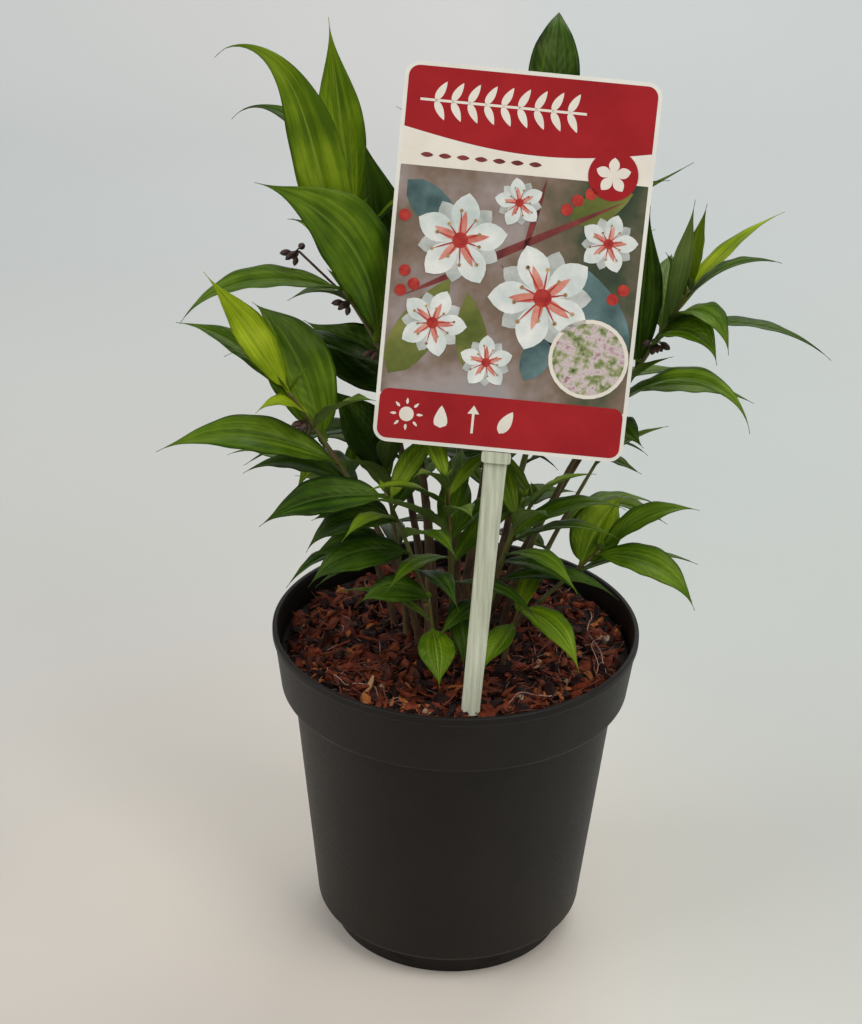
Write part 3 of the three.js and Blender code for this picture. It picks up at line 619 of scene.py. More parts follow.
# Leaves grow by the rule. They climb the stem by the golden angle, low and spreading below, steeper near
# the tip. One that would touch the pot, the label, a stem or another leaf is turned or lifted, or else
# left out.
LEAF_CLEAR = 3.6
OWN_LEAF_CLEAR = 2.0
STEM_CLEAR = 4.8
OWN_STEM_CLEAR = 3.2
OWN_STEM_FREE = 10
SOIL_ABOVE = 6.0
RIM_INSIDE = 4.0
RIM_BESIDE = 5.0
RIM_ABOVE = 3.5
LABEL_CLEAR = 4.5
CARD_BESIDE = 3.0
STAKE_BESIDE = 8.0
STAKE_BELOW = 5.0
CARD_VIEW_IN = 6.0
CARD_VIEW_ABOVE = 12.0
STAKE_VIEW_HALF = 4.0
LIFTS = (0, 8, -8, 16, -16)
TURNS = (0, 10, -10, 20, -20, 30, -30, 45, -45)
LENGTH_LEAST = 50.0
LENGTH_GAIN = 24.0
RISE_LEAST = 8.0
RISE_GAIN = 52.0
ARCH_LEAST = 30.0
ARCH_STRAY = 40.0
ARCH_LATE = 1.6
BEARING_STRAY = 16.0
RISE_STRAY = 14.0
ROLL_STRAY = 24.0
WIDE_LEAST = 0.22
WIDE_STRAY = 0.04
PETIOLE_WIDE = 0.06
OLD_AND_SHADED_BELOW = 0.28
GROWN_BELOW = 0.72


def half_width(share, width):
    """Half the width of a leaf at a share of its length: a petiole, a belly and a drawn-out tip."""
    if share < PETIOLE_SHARE:
        return width * PETIOLE_WIDE
    along = (share - PETIOLE_SHARE) / (1 - PETIOLE_SHARE)
    belly = max(0.0, math.sin(math.pi * along**0.8)) ** (0.7 + 1.5 * along)
    return width * (0.5 * belly + 0.04 * (1 - along))


def leaf_line(root, leaf):
    """A leaf's midrib: its points, the way along it, the way across the blade, and half its width."""
    points = []
    alongs = []
    acrosses = []
    point = root.copy()
    roll = math.radians(leaf["roll"])
    for i in range(LEAF_STEPS + 1):
        along = heading(leaf["bearing"], leaf["rise"] - leaf["arch"] * (i / LEAF_STEPS) ** leaf["late"])
        level = heading(leaf["bearing"] + 90, 0)
        upper = np.cross(level, along)
        points.append(point.copy())
        alongs.append(along)
        acrosses.append(level * math.cos(roll) + upper * math.sin(roll))
        point = point + along * leaf["length"] / LEAF_STEPS
    halves = [half_width(i / LEAF_STEPS, leaf["width"]) for i in range(LEAF_STEPS + 1)]
    return np.array(points), np.array(alongs), np.array(acrosses), np.array(halves)


def keeps_clear(checks, others, clear):
    low = checks.min(0)
    high = checks.max(0)
    outside = np.maximum(np.maximum(low - others, others - high), 0)
    near = others[np.linalg.norm(outside, axis=1) < clear]
    if not len(near):
        return True
    apart = ((checks[:, None, :] - near[None, :, :]) ** 2).sum(2)
    return bool((apart > clear * clear).all())


def clear_of_pot(checks):
    radius = np.hypot(checks[:, 0], checks[:, 1])
    inside = radius < RIM_RADIUS - RIM_INSIDE
    over_soil = checks[:, 2] > SOIL + SOIL_ABOVE
    off_rim = (radius > RIM_RADIUS + RIM_BESIDE) | (checks[:, 2] > POT_HEIGHT + RIM_ABOVE)
    return bool(np.where(inside, over_soil, off_rim).all())


def clear_of_label(checks):
    way = checks - LABEL_FOOT
    across = abs(way @ label_across)
    up = way @ label_up
    out = way @ label_out
    card_top = STAKE_OUT + CARD_TALL
    by_card = (across < CARD_WIDE / 2 + CARD_BESIDE) & (up > STAKE_OUT - CARD_BESIDE)
    by_card &= up < card_top + CARD_BESIDE
    by_stake = (across < STAKE_BESIDE) & (up > -STAKE_BELOW) & (up < STAKE_OUT + TONGUE_TALL)
    before_card = (across < CARD_WIDE / 2 - CARD_VIEW_IN) & (up > STAKE_OUT)
    before_card &= up < card_top + CARD_VIEW_ABOVE
    before_stake = (across < STAKE_VIEW_HALF) & (up > STAKE_VIEW_HALF) & (up < STAKE_OUT)
    touching = (by_card | by_stake) & (abs(out) < LABEL_CLEAR)
    hiding = (before_card | before_stake) & (out > 0)
    return not (touching | hiding).any()


stem_checks = []
for shoot in SHOOTS:
    stem_checks.append(np.array([stem_point(shoot, i / STEM_CHECKS) for i in range(STEM_CHECKS + 1)]))
grown = []


def fits(number, leaf, checks):
    if not clear_of_pot(checks) or not clear_of_label(checks):
        return False
    for other, stem in enumerate(stem_checks):
        if other != number and not keeps_clear(checks, stem, STEM_CLEAR):
            return False
    free = math.floor(leaf["at"] * STEM_CHECKS + 0.5) - OWN_STEM_FREE
    if not keeps_clear(checks, stem_checks[number][:max(2, free)], OWN_STEM_CLEAR):
        return False
    for other in grown:
        clear = OWN_LEAF_CLEAR if other["number"] == number else LEAF_CLEAR
        if not keeps_clear(checks, other["checks"], clear):
            return False
    return True


def grow_leaf(number, wanted):
    root = stem_point(SHOOTS[number], wanted["at"])
    for lift in LIFTS:
        for turn in TURNS:
            leaf = dict(wanted, bearing=wanted["bearing"] + turn, rise=wanted["rise"] + lift)
            line = leaf_line(root, leaf)
            points, _, acrosses, halves = line
            spans = [points[3:] + acrosses[3:] * (halves[3:] * i / 3)[:, None] for i in range(-3, 4)]
            checks = np.concatenate(spans)
            if fits(number, leaf, checks):
                grown.append({"number": number, "leaf": leaf, "line": line, "checks": checks})
                return


def rule_leaf(shoot, index, number):
    share = (index + 0.5) / shoot["more"]
    key = number * 31 + index * 7 + 1
    belly = math.sin(math.pi * min(1, share * 1.15) ** 0.9)
    length = shoot["size"] * (LENGTH_LEAST + LENGTH_GAIN * belly) * (0.9 + 0.2 * chance(key + 2))
    return {
        "at": shoot["first"] + (1 - shoot["first"]) * share,
        "bearing": shoot["phase"] + GOLDEN_ANGLE * index + BEARING_STRAY * (chance(key) - 0.5),
        "rise": RISE_LEAST + RISE_GAIN * share**1.3 + RISE_STRAY * (chance(key + 1) - 0.5),
        "length": length,
        "arch": ARCH_LEAST + ARCH_STRAY * chance(key + 3),
        "late": ARCH_LATE,
        "roll": ROLL_STRAY * (chance(key + 4) - 0.5),
        "width": length * (WIDE_LEAST + WIDE_STRAY * chance(key + 5)),
        # Low leaves get the darkest green, for their age and as a painted shade of the leaves above them.
        "age": "old" if share < OLD_AND_SHADED_BELOW else "grown" if share < GROWN_BELOW else "fresh",
    }


for number, shoot in enumerate(SHOOTS):
    for values in shoot.get("lead", []):
        grow_leaf(number, dict(zip(LEAF_KEYS, values)))
for number, shoot in enumerate(SHOOTS):
    for index in range(shoot["more"]):
        grow_leaf(number, rule_leaf(shoot, index, number))

# A leaf is leathery and glossy above, paler and duller below. Its midrib lies in a groove, a pair of long
# veins runs beside it, and fine ones branch off. Each blade is one closed skin, and a shoot's are joined.
FINE_STEPS = 48
FINE_ACROSS = 14
LEAF_FOLD = 0.24
BLADE_THICK = 0.5
BLADE_LEAST = 0.12
PETIOLE_THICK = 1.5
GROOVE = 0.32
GROOVE_WIDE = 0.12
BULGE = 0.07
WAVE = 0.045
WAVES = 5.0
YOUNG_TIPS = 2
TIP_LENGTH = 15.0
TIP_WIDE = 4.2
TIP_AHEAD = 70
TIP_RISE = 70
TIP_STRAY = 12
TIP_ARCH = 12
TIP_LATE = 1.5
# The darkest green is the leaves' own colour when old, and a painted shade where leaves in shade get it.
LEAF_GREENS = {
    "young": [(0.120, 0.180, 0.002), (0.225, 0.300, 0.006), (0.340, 0.420, 0.020)],
    "fresh": [(0.042, 0.086, 0.001), (0.088, 0.146, 0.002), (0.165, 0.235, 0.008)],
    "grown": [(0.022, 0.058, 0.001), (0.055, 0.108, 0.002), (0.120, 0.190, 0.010)],
    "old": [(0.0050, 0.018, 0.001), (0.017, 0.048, 0.001), (0.052, 0.102, 0.006)],
    "below": [(0.055, 0.090, 0.018), (0.080, 0.125, 0.026), (0.115, 0.165, 0.040)],
}
RIB_GREENS = {"young": (0.30, 0.38, 0.04), "fresh": (0.20, 0.28, 0.03), "grown": (0.13, 0.20, 0.02),
              "old": (0.050, 0.100, 0.010), "below": (0.16, 0.21, 0.06)}
LEAF_ROUGH = (0.34, 0.5)
BELOW_ROUGH = (0.55, 0.75)
LEAF_COAT = 0.04
TONE_RANGE = (0.34, 0.58)
RIB_EDGE = (0.008, 0.035)
RIB_PALE = 0.6
CLOUD_SCALE = 42.0
STREAKS = (15.0, 1.5, 1.0)
STREAK_SHIFT = (30.0, 30.0, 30.0)
STREAK_SHARE = 0.46
STREAK_DEEP = 3.0
# The blade is lightest in a band part way out from the midrib, and painted darker away from it: painted
# shade.
BELLY_AT = 0.2
PAINTED_SHADE_OFF_BELLY = 0.42
LEAF_SHINE = (0.85, 1.0, 0.30, 1.0)
SIDE_VEINS = 13.0
VEIN_SLANT = 6.4
LONG_VEIN_AT = 0.26
LONG_VEIN_HALF = 0.05
LONG_VEIN_DEEP = 1.6
VEIN_RELIEF = 0.09
LEAF_WELD = 0.01
STRIP_SIDE = 0.06
STRIP_END = 0.02


def reckoned(tree, operation, first, second=0.5):
    return new_node(tree, "Math", {0: first, 1: second}, operation=operation).outputs[0]


def leaf_finish(name, shades, rib_green, rough, coat):
    """Green in streaks along the blade, which its own map gives: across it and along it.
    Towards the margin and the midrib it is painted darker, a painted shade of the curled blade.
    """
    material = bpy.data.materials.new(name)
    material.use_nodes = True
    tree = material.node_tree
    shader = tree.nodes["Principled BSDF"]
    own = new_node(tree, "UVMap", uv_map="blade").outputs["UV"]
    mapped = new_node(tree, "SeparateXYZ", {"Vector": own})
    aside = reckoned(tree, "ABSOLUTE", reckoned(tree, "SUBTRACT", mapped.outputs["X"], 0.5))
    place = new_node(tree, "TexCoord").outputs["Object"]
    long_way = new_node(tree, "Mapping", {"Vector": own, "Scale": STREAKS}).outputs["Vector"]
    patch = new_node(tree, "VectorMath", {0: place, 1: STREAK_SHIFT}, operation="MULTIPLY")
    long_way = new_node(tree, "VectorMath", {0: long_way, 1: patch.outputs["Vector"]}, operation="ADD")
    streak = clouds(tree, long_way.outputs["Vector"], 1.0, 3.5, 0.55)
    cloudy = reckoned(tree, "MULTIPLY", clouds(tree, place, CLOUD_SCALE, 3.0), 1 - STREAK_SHARE)
    tone = reckoned(tree, "ADD", cloudy, reckoned(tree, "MULTIPLY", streak, STREAK_SHARE))
    # Painted shade: the green darkens towards the margin and the midrib, away from a band between them.
    from_belly = reckoned(tree, "ABSOLUTE", reckoned(tree, "SUBTRACT", aside, BELLY_AT))
    tone = reckoned(tree, "SUBTRACT", tone, reckoned(tree, "MULTIPLY", from_belly, PAINTED_SHADE_OFF_BELLY))
    green = shades_of(tree, tone, shades, *TONE_RANGE)
    rib = ranged(tree, aside, *RIB_EDGE, RIB_PALE, 0.0)
    ribbed = new_node(tree, "Mix", {0: rib, 6: green, 7: (*rib_green, 1)}, data_type="RGBA").outputs[2]
    tree.links.new(ribbed, shader.inputs["Base Color"])
    tree.links.new(ranged(tree, streak, 0.0, 1.0, *rough), shader.inputs["Roughness"])
    climb = reckoned(tree, "MULTIPLY", mapped.outputs["Y"], SIDE_VEINS)
    phase = reckoned(tree, "SUBTRACT", climb, reckoned(tree, "MULTIPLY", aside, VEIN_SLANT))
    ripple = reckoned(tree, "SINE", reckoned(tree, "MULTIPLY", phase, 2 * math.pi))
    beside = reckoned(tree, "ABSOLUTE", reckoned(tree, "SUBTRACT", aside, LONG_VEIN_AT))
    long_vein = ranged(tree, beside, 0.0, LONG_VEIN_HALF, -LONG_VEIN_DEEP, 0.0)
    swells = reckoned(tree, "ADD", reckoned(tree, "ADD", ripple, long_vein),
                      reckoned(tree, "MULTIPLY", streak, STREAK_DEEP))
    bump = new_node(tree, "Bump", {"Height": swells, "Strength": 0.5, "Distance": VEIN_RELIEF * MM})
    tree.links.new(bump.outputs["Normal"], shader.inputs["Normal"])
    for socket, value in (("Specular IOR Level", 0.26), ("Specular Tint", LEAF_SHINE),
                          ("Coat Weight", coat), ("Coat Roughness", 0.3)):
        shader.inputs[socket].default_value = value
    return material


AGES = list(LEAF_GREENS)
leaf_looks = []
for age in AGES:
    rough, coat = (BELOW_ROUGH, 0.0) if age == "below" else (LEAF_ROUGH, LEAF_COAT)
    leaf_looks.append(leaf_finish("leaf_" + age, LEAF_GREENS[age], RIB_GREENS[age], rough, coat))


def smoothed(rows, t):
    """A smooth curve through rows, read at t steps along them."""
    i = min(int(t), len(rows) - 2)
    u = t - i
    a, b = rows[max(i - 1, 0)], rows[i]
    c, d = rows[i + 1], rows[min(i + 2, len(rows) - 1)]
    return 0.5 * (2 * b + (c - a) * u + (2 * a - 5 * b + 4 * c - d) * u**2 + (3 * b - a - 3 * c + d) * u**3)


def blade(leaf, line, key):
    """A leaf's points, faces, and for each face its side: 0 above and 1 below, with each corner's map."""
    mids, alongs, acrosses, _ = line
    tops = []
    lows = []
    for i in range(FINE_STEPS + 1):
        share = i / FINE_STEPS
        t = share * LEAF_STEPS
        mid = smoothed(mids, t)
        along = smoothed(alongs, t)
        across = smoothed(acrosses, t)
        upper = np.cross(across, along)
        upper /= np.linalg.norm(upper)
        half = max(BLADE_LEAST, half_width(share, leaf["width"]))
        petiole = max(0.0, 1 - share / (PETIOLE_SHARE * 1.7))
        flat = 1 - petiole
        thick = min(BLADE_THICK + (PETIOLE_THICK - BLADE_THICK) * petiole, half * 1.6)
        for k in range(FINE_ACROSS + 1):
            v = 2 * k / FINE_ACROSS - 1
            lift = half * LEAF_FOLD * (0.55 * abs(v) + 0.45 * v * v) * flat
            lift += BULGE * half * math.sin(math.pi * abs(v)) * flat
            swing = WAVES * share + chance(key) + 0.3 * np.sign(v)
            lift += WAVE * half * v * v * math.sin(2 * math.pi * swing) * flat
            groove = GROOVE * math.exp(-((v / GROOVE_WIDE) ** 2)) * min(1.0, half / 4) * flat
            edge = math.sqrt(max(0.0, 1 - v**4)) * thick / 2
            base = mid + across * half * v + upper * lift
            tops.append(base + upper * (edge - groove))
            lows.append(base - upper * (edge + groove * 1.2))
    points = tops + lows
    wide = FINE_ACROSS + 1
    base = len(tops)
    faces = []
    sides = []
    maps = []
    for i in range(FINE_STEPS):
        for k in range(FINE_ACROSS):
            corners = [(i, k), (i, k + 1), (i + 1, k + 1), (i + 1, k)]
            spots = [(b / FINE_ACROSS, a / FINE_STEPS) for a, b in corners]
            faces.append([a * wide + b for a, b in corners])
            faces.append([base + a * wide + b for a, b in reversed(corners)])
            sides.extend((0, 1))
            maps.extend((spots, spots[::-1]))
    for i in (0, FINE_STEPS):
        for k in range(FINE_ACROSS):
            row = [i * wide + k, i * wide + k + 1, base + i * wide + k + 1, base + i * wide + k]
            faces.append(row if i else row[::-1])
            sides.append(1)
            maps.append([(0.5, i / FINE_STEPS)] * 4)
    return points, faces, sides, maps


def bundle(name, blades):
    """Joins blades into one mesh, with the map of the veins and a map where each side has its own strip."""
    points = []
    faces = []
    kinds = []
    vein_map = []
    strip_map = []
    strips = 2 * len(blades)
    for n, (age, (some_points, some_faces, sides, maps)) in enumerate(blades):
        base = len(points)
        points.extend(some_points)
        for face, side, spots in zip(some_faces, sides, maps):
            faces.append([base + k for k in face])
            kinds.append(AGES.index("below") if side else AGES.index(age))
            vein_map.append(spots)
            left = 2 * n + side + STRIP_SIDE
            strip_map.append([((left + (1 - 2 * STRIP_SIDE) * x) / strips,
                               STRIP_END + (1 - 2 * STRIP_END) * y) for x, y in spots])
    maps = (("blade", vein_map), ("OFBake", strip_map))
    return make_piece(name, points, faces, leaf_looks, kinds=kinds, maps=maps, weld=LEAF_WELD)


for number, shoot in enumerate(SHOOTS):
    blades = []
    for n, one in enumerate(grown):
        if one["number"] == number:
            blades.append((one["leaf"]["age"], blade(one["leaf"], one["line"], n)))
    for i in range(YOUNG_TIPS):
        key = number * 5 + i
        length = TIP_LENGTH * shoot["size"] ** 3 * (0.7 + 0.3 * chance(key + 1))
        leaf = {"bearing": shoot["phase"] + TIP_AHEAD + 180 * i, "rise": TIP_RISE - TIP_STRAY * chance(key),
                "arch": TIP_ARCH, "late": TIP_LATE, "length": length, "roll": 0,
                "width": TIP_WIDE * shoot["size"]}
        blades.append(("fresh", blade(leaf, leaf_line(stem_point(shoot, 1.0), leaf), key)))
    leaves = bundle("leaves_" + shoot["name"], blades)
    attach(leaves, "root")
    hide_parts("shoot_" + shoot["name"])

# The leafy part of each stem carries on from its bough, thinner and greener. Small knots of flower buds,
# red-brown and pointed, hang in some of the leaf axils, and one hangs out at the end of a long stalk.
BUD_SPREAD = (-80, -48, -16, 16, 48, 80)
BUD_DROOP = -58
BUD_FAN = 24
BUD_LENGTH = 4.6
BUD_RADIUS = 1.2
BUD_STALK = 3.4
BUD_THREAD = 0.3
BUD_TIP = 0.06
BUD_APART = 1.1
BUD_STEPS = 8
BUD_SIDES = 8
BUD_RED = [(0.010, 0.005, 0.004), (0.045, 0.016, 0.009), (0.095, 0.040, 0.018)]
SPRAY_STALK = 0.55


def bud(root, bearing, droop, size):
    """A stalk and a pointed bud on its end."""
    along = heading(bearing, droop)
    path = []
    radii = []
    for i in range(BUD_STEPS + 1):
        t = i / BUD_STEPS
        path.append(root + along * (BUD_STALK + BUD_LENGTH) * size * t)
        swell = max(0.0, (t * (BUD_STALK + BUD_LENGTH) - BUD_STALK) / BUD_LENGTH)
        radius = BUD_THREAD + BUD_RADIUS * math.sin(math.pi * swell**0.75) ** 0.8 if swell < 1 else BUD_TIP
        radii.append(size * radius)
    return tube(path, radii, BUD_SIDES)


green_bark = speckled("green_bark", GREEN_BARK, 120.0, (0.4, 0.6), 0.05, 1500.0, (1, 1, 0.4))
bud_red = speckled("bud_red", BUD_RED, 420.0, (0.5, 0.7), 0.08, 1800.0)
knots = []
for number, shoot in enumerate(SHOOTS):
    cut_share = shoot["first"] - BOUGH_SHORT
    points, faces = limb(shoot, number, cut_share, 1.0, TWIG_RING, TWIG_SIDES, TWIG_ROUGH)
    twig = make_piece("twig_" + shoot["name"], points, faces, [green_bark])
    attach(twig, "root")
    clusters = [(stem_point(shoot, at), bearing) for at, bearing in shoot.get("buds", [])]
    for at, bearing, rise, reach in shoot.get("sprays", []):
        root = stem_point(shoot, at)
        path = [root + heading(bearing, rise) * reach * i / BUD_STEPS for i in range(BUD_STEPS + 1)]
        knots.append(tube(path, [SPRAY_STALK] * len(path), BUD_SIDES))
        clusters.append((path[-1], bearing))
    for root, bearing in clusters:
        for i, spread in enumerate(BUD_SPREAD):
            start = root + (0, 0, BUD_APART * (i % 2))
            knots.append(bud(start, bearing + spread, BUD_DROOP + BUD_FAN * (i % 3), 0.8 + 0.1 * (i % 3)))
buds = make_piece("flower_buds", *joined(knots), [bud_red])
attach(buds, "root")

# The card is white board under a satin film, with rounded corners. The print is generic: crimson bands,
# plain white blossoms, leaves and signs, with no words. Each shape is a thin flat inlay over the board.
PRINT_LEVEL = 0.05
PRINT_ROUGH = (0.3, 0.42)
CARD_MARGIN = 1.6
HEADER_LOW = 127.0
HEADER_DIP = 7.0
HEADER_CORNER = 4.4
HEADER_STEPS = 24
HEADER_SWEEP = 0.9
CREAM_LOW = 112.0
CREAM_UNDER = 0.8
FOOTER_TALL = 22.0
FOOTER_CORNER = 4.0
CARD_BASE = STAKE_OUT + GAP
CARD_FRONT = GAP + CARD_THICK
CARD_WHITE = [(0.70, 0.66, 0.58), (0.80, 0.76, 0.68)]
INKS = {
    "crimson": ([(0.29, 0.004, 0.007), (0.37, 0.009, 0.012)], 45.0),
    "cream": ([(0.72, 0.65, 0.55), (0.80, 0.73, 0.63)], 60.0),
    "petal_back": ([(0.30, 0.33, 0.30), (0.58, 0.58, 0.54)], 120.0),
    "petal": ([(0.50, 0.56, 0.52), (0.82, 0.80, 0.74)], 90.0),
    "blush": ([(0.50, 0.10, 0.07), (0.72, 0.34, 0.26)], 160.0),
    "heart_red": ([(0.30, 0.012, 0.015), (0.50, 0.05, 0.03)], 300.0),
    "leaf_olive": ([(0.06, 0.085, 0.010), (0.22, 0.22, 0.05)], 45.0),
    "leaf_teal": ([(0.012, 0.035, 0.032), (0.17, 0.27, 0.27)], 36.0),
    "plum": ([(0.07, 0.010, 0.012), (0.26, 0.05, 0.04)], 110.0),
    "stamen": ([(0.10, 0.02, 0.02), (0.60, 0.40, 0.16)], 400.0),
}
FIELD_SHADES = [(0.010, 0.026, 0.024), (0.05, 0.065, 0.03), (0.19, 0.13, 0.09), (0.33, 0.27, 0.25),
                (0.20, 0.27, 0.29)]
INSET_SHADES = [(0.04, 0.06, 0.02), (0.26, 0.29, 0.12), (0.62, 0.50, 0.50), (0.30, 0.15, 0.16)]
INSET = (33, 41)
INSET_RADIUS = 14.6
INSET_RING = 1.6
BADGE = (35, 115)
SPRIG_LEVEL = 138
SUN = (-38, 12)
SUN_RAY_OUT = 4.1
BLOSSOMS = ((-23, 84, 19, 12), (12, 64, 22, 40), (-31, 50, 14, 70), (36, 88, 12, 5), (-1, 101, 10, 30),
            (-8, 36, 11, 20))
BERRIES = ((22, 104), (27, 107), (18, 100), (-44, 70), (-40, 65), (-45, 62), (44, 70), (40, 66), (24, 36),
           (-46, 92))
BRANCHES = (
    ("leaf_olive", 2, 0.75, ((-47, 28, 62, 46, 17), (-12, 30, 100, 34, 13), (20, 96, 28, 27, 12))),
    ("leaf_teal", 3, 0.75, ((46, 40, 118, 44, 18), (-46, 106, -42, 36, 14), (8, 30, 68, 30, 12))),
    ("plum", 3, 0.9, ((-44, 60, 28, 96, 3.2), (2, 78, 78, 34, 2.4), (-6, 76, -52, 50, 2.4))),
)


def disc(x, y, radius, steps=28):
    return [(x + radius * math.cos(2 * math.pi * i / steps), y + radius * math.sin(2 * math.pi * i / steps))
            for i in range(steps)]


def petal(x, y, angle, length, wide, steps=9, point=0.75):
    """The outline of a petal or a leaf that starts at x, y and points along angle, in degrees."""
    turn = math.radians(angle)
    edge = []
    for side in (1, -1):
        for i in range(steps):
            t = i / steps if side > 0 else 1 - i / steps
            reach = length * t
            off = side * wide / 2 * math.sin(math.pi * t**point) ** 0.8 if 0 < t < 1 else 0
            edge.append((x + reach * math.cos(turn) - off * math.sin(turn),
                         y + reach * math.sin(turn) + off * math.cos(turn)))
    return edge


def slab(outline, level, deep=0.3):
    """A thin closed plate with that outline, its face so many print levels over the card's."""
    count = len(outline)
    front = CARD_FRONT + level * PRINT_LEVEL
    back = CARD_FRONT - deep
    points = [(x, CARD_BASE + y, z) for z in (back, front) for x, y in outline]
    flat = [Vector((x, y, 0)) for x, y in outline]
    lids = tessellate_polygon([flat])
    faces = [tuple(count + k for k in lid) for lid in lids]
    faces += [tuple(reversed(lid)) for lid in lids]
    faces += [(k, (k + 1) % count, count + (k + 1) % count, count + k) for k in range(count)]
    return on_label(points), faces


def round_box(left, low, right, high, corner, steps=7):
    edge = []
    for x, y, start in ((right, low, -90), (right, high, 0), (left, high, 90), (left, low, 180)):
        for i in range(steps + 1):
            angle = math.radians(start + 90 * i / steps)
            edge.append((x + corner * (math.cos(angle) - (1 if x == right else -1)),
                         y + corner * (math.sin(angle) - (1 if y == high else -1))))
    return edge


def printed(ink, outline, level):
    shapes[ink].append(slab(outline, level))


def ink_finish(name, shades, scale):
    return speckled(name, shades, scale, PRINT_ROUGH, Specular_IOR_Level=0.25, Coat_Weight=0.08)


shapes = {ink: [] for ink in INKS}
half = CARD_WIDE / 2
inner = half - CARD_MARGIN
sweep = []
for i in range(HEADER_STEPS + 1):
    dip = HEADER_DIP * math.sin(math.pi * i / HEADER_STEPS * HEADER_SWEEP)
    sweep.append((-inner + 2 * inner * i / HEADER_STEPS, HEADER_LOW - dip))
header_top = CARD_TALL - CARD_MARGIN - GAP
bow = []
for i in range(7):
    angle = math.radians(15 * i)
    bow.append((inner - HEADER_CORNER + HEADER_CORNER * math.cos(angle),
                header_top - HEADER_CORNER + HEADER_CORNER * math.sin(angle)))
printed("crimson", sweep + bow + [(-x, y) for x, y in bow[::-1]], 1)
cream_top = [(x, y - CREAM_UNDER) for x, y in sweep[::-1]]
printed("cream", [(-inner, CREAM_LOW), (inner, CREAM_LOW)] + cream_top, 1)
printed("crimson", round_box(-inner, CARD_MARGIN, inner, FOOTER_TALL, FOOTER_CORNER), 2)
for x, y, size, turn in BLOSSOMS:
    for k in range(5):
        printed("petal_back", petal(x, y, turn + 36 + 72 * k, size * 0.9, size * 0.5, point=1.2), 4)
        printed("petal", petal(x, y, turn + 72 * k, size, size * 0.6, point=1.25), 5 + k % 2)
        printed("blush", petal(x, y, turn + 72 * k, size * 0.62, size * 0.17, point=0.8), 7)
    printed("heart_red", disc(x, y, size * 0.17, 16), 8)
    for k in range(10):
        way = 36 * k + turn + 9
        reach = size * (0.42 + 0.1 * (k % 3))
        end = (x + reach * math.cos(math.radians(way)), y + reach * math.sin(math.radians(way)))
        printed("stamen", disc(*end, size * 0.038, 8), 10)
        printed("heart_red", petal(x, y, way, reach, size * 0.03, point=1.0), 9)
for ink, level, point, rows in BRANCHES:
    for row in rows:
        printed(ink, petal(*row, point=point), level)
for x, y in BERRIES:
    printed("heart_red", disc(x, y, 2.4, 14), 5)
printed("cream", disc(*INSET, INSET_RADIUS + INSET_RING), 5)
printed("crimson", disc(*BADGE, 10.0, 36), 5)
for k in range(5):
    printed("cream", petal(*BADGE, 90 + 72 * k, 7.2, 4.3, point=1.25), 6)
for i in range(9):
    for angle in (62, -62):
        printed("cream", petal(-38 + 6.6 * i, SPRIG_LEVEL, angle, 8.6, 3.1), 2)
printed("cream", [(x, SPRIG_LEVEL + y) for x, y in ((-44, -0.5), (22, -0.5), (22, 0.5), (-44, 0.5))], 2)
for i in range(7):
    printed("plum", petal(-42 + 7.2 * i, 116.5, 0, 5.2, 2.0, point=1.0), 2)
printed("cream", disc(*SUN, 3.0, 18), 3)
for k in range(8):
    angle = math.radians(45 * k)
    ray = (SUN[0] + SUN_RAY_OUT * math.cos(angle), SUN[1] + SUN_RAY_OUT * math.sin(angle))
    printed("cream", petal(*ray, 45 * k, 2.6, 1.1), 3)
printed("cream", petal(-24, 7.6, 90, 9.2, 5.6, point=0.55), 3)
printed("cream", [(-11.5, 6.5), (-10.5, 6.5), (-10.5, 14.5), (-8.6, 14.5), (-11, 18), (-13.4, 14.5),
                  (-11.5, 14.5)], 3)
printed("cream", petal(0, 7.5, 62, 10.5, 5.0), 3)

card_white = speckled("card_white", CARD_WHITE, 30.0, PRINT_ROUGH, 0.01, 900.0, Coat_Weight=0.3)
card_outline = round_box(-half, 0, half, CARD_TALL - GAP, CARD_CORNER, 9)
card = make_piece("label_board", *slab(card_outline, 0, CARD_THICK), [card_white], smooth=False)
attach(card, "root")
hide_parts("label_card")
field = slab(round_box(-inner, FOOTER_TALL - 2, inner, CREAM_LOW, 0.5), 0.5)
inset = slab(disc(*INSET, INSET_RADIUS, 40), 6)
prints = [
    ("field", [field], ink_finish("field_print", FIELD_SHADES, 13.0)),
    ("inset", [inset], ink_finish("inset_print", INSET_SHADES, 260.0)),
]
for ink, (shades, scale) in INKS.items():
    prints.append((ink, shapes[ink], ink_finish("print_" + ink, shades, scale)))
for name, slabs, finish in prints:
    piece = make_piece("label_" + name, *joined(slabs), [finish], smooth=False)
    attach(piece, "root")

# The stake is moulded in translucent white plastic. Raised edges and a middle rib stiffen it, and a
# shoulder under the card holds it. It tapers to a point in the compost.
STAKE_IN = 24.0
STAKE_THICK = 1.6
STAKE_TOP_WIDE = 9.4
STAKE_FOOT_WIDE = 7.6
STAKE_POINT = 10.0
STAKE_TIP_HALF = 0.4
STAKE_RIBS_IN = 10.0
STAKE_STEPS = 12
STAKE_TOP_TALL = 2.0
STAKE_TOP_EASE = 0.8
TONGUE_FRONT = 0.5
SHOULDER_WIDE = 12.0
SHOULDER_TALL = 5.0
SHOULDER_EASE = 1.2
SHOULDER_UNDER = 0.35
STAKE_SECTION = [(-1.0, 0.0), (-0.97, 0.4), (-0.86, 0.6), (-0.72, 0.52), (-0.6, 0.34), (-0.2, 0.3),
                 (0.0, 0.34), (0.2, 0.3), (0.6, 0.34), (0.72, 0.52), (0.86, 0.6), (0.97, 0.4), (1.0, 0.0),
                 (0.96, -0.5), (-0.96, -0.5)]
STAKE_WHITE = [(0.37, 0.38, 0.26), (0.65, 0.66, 0.51)]


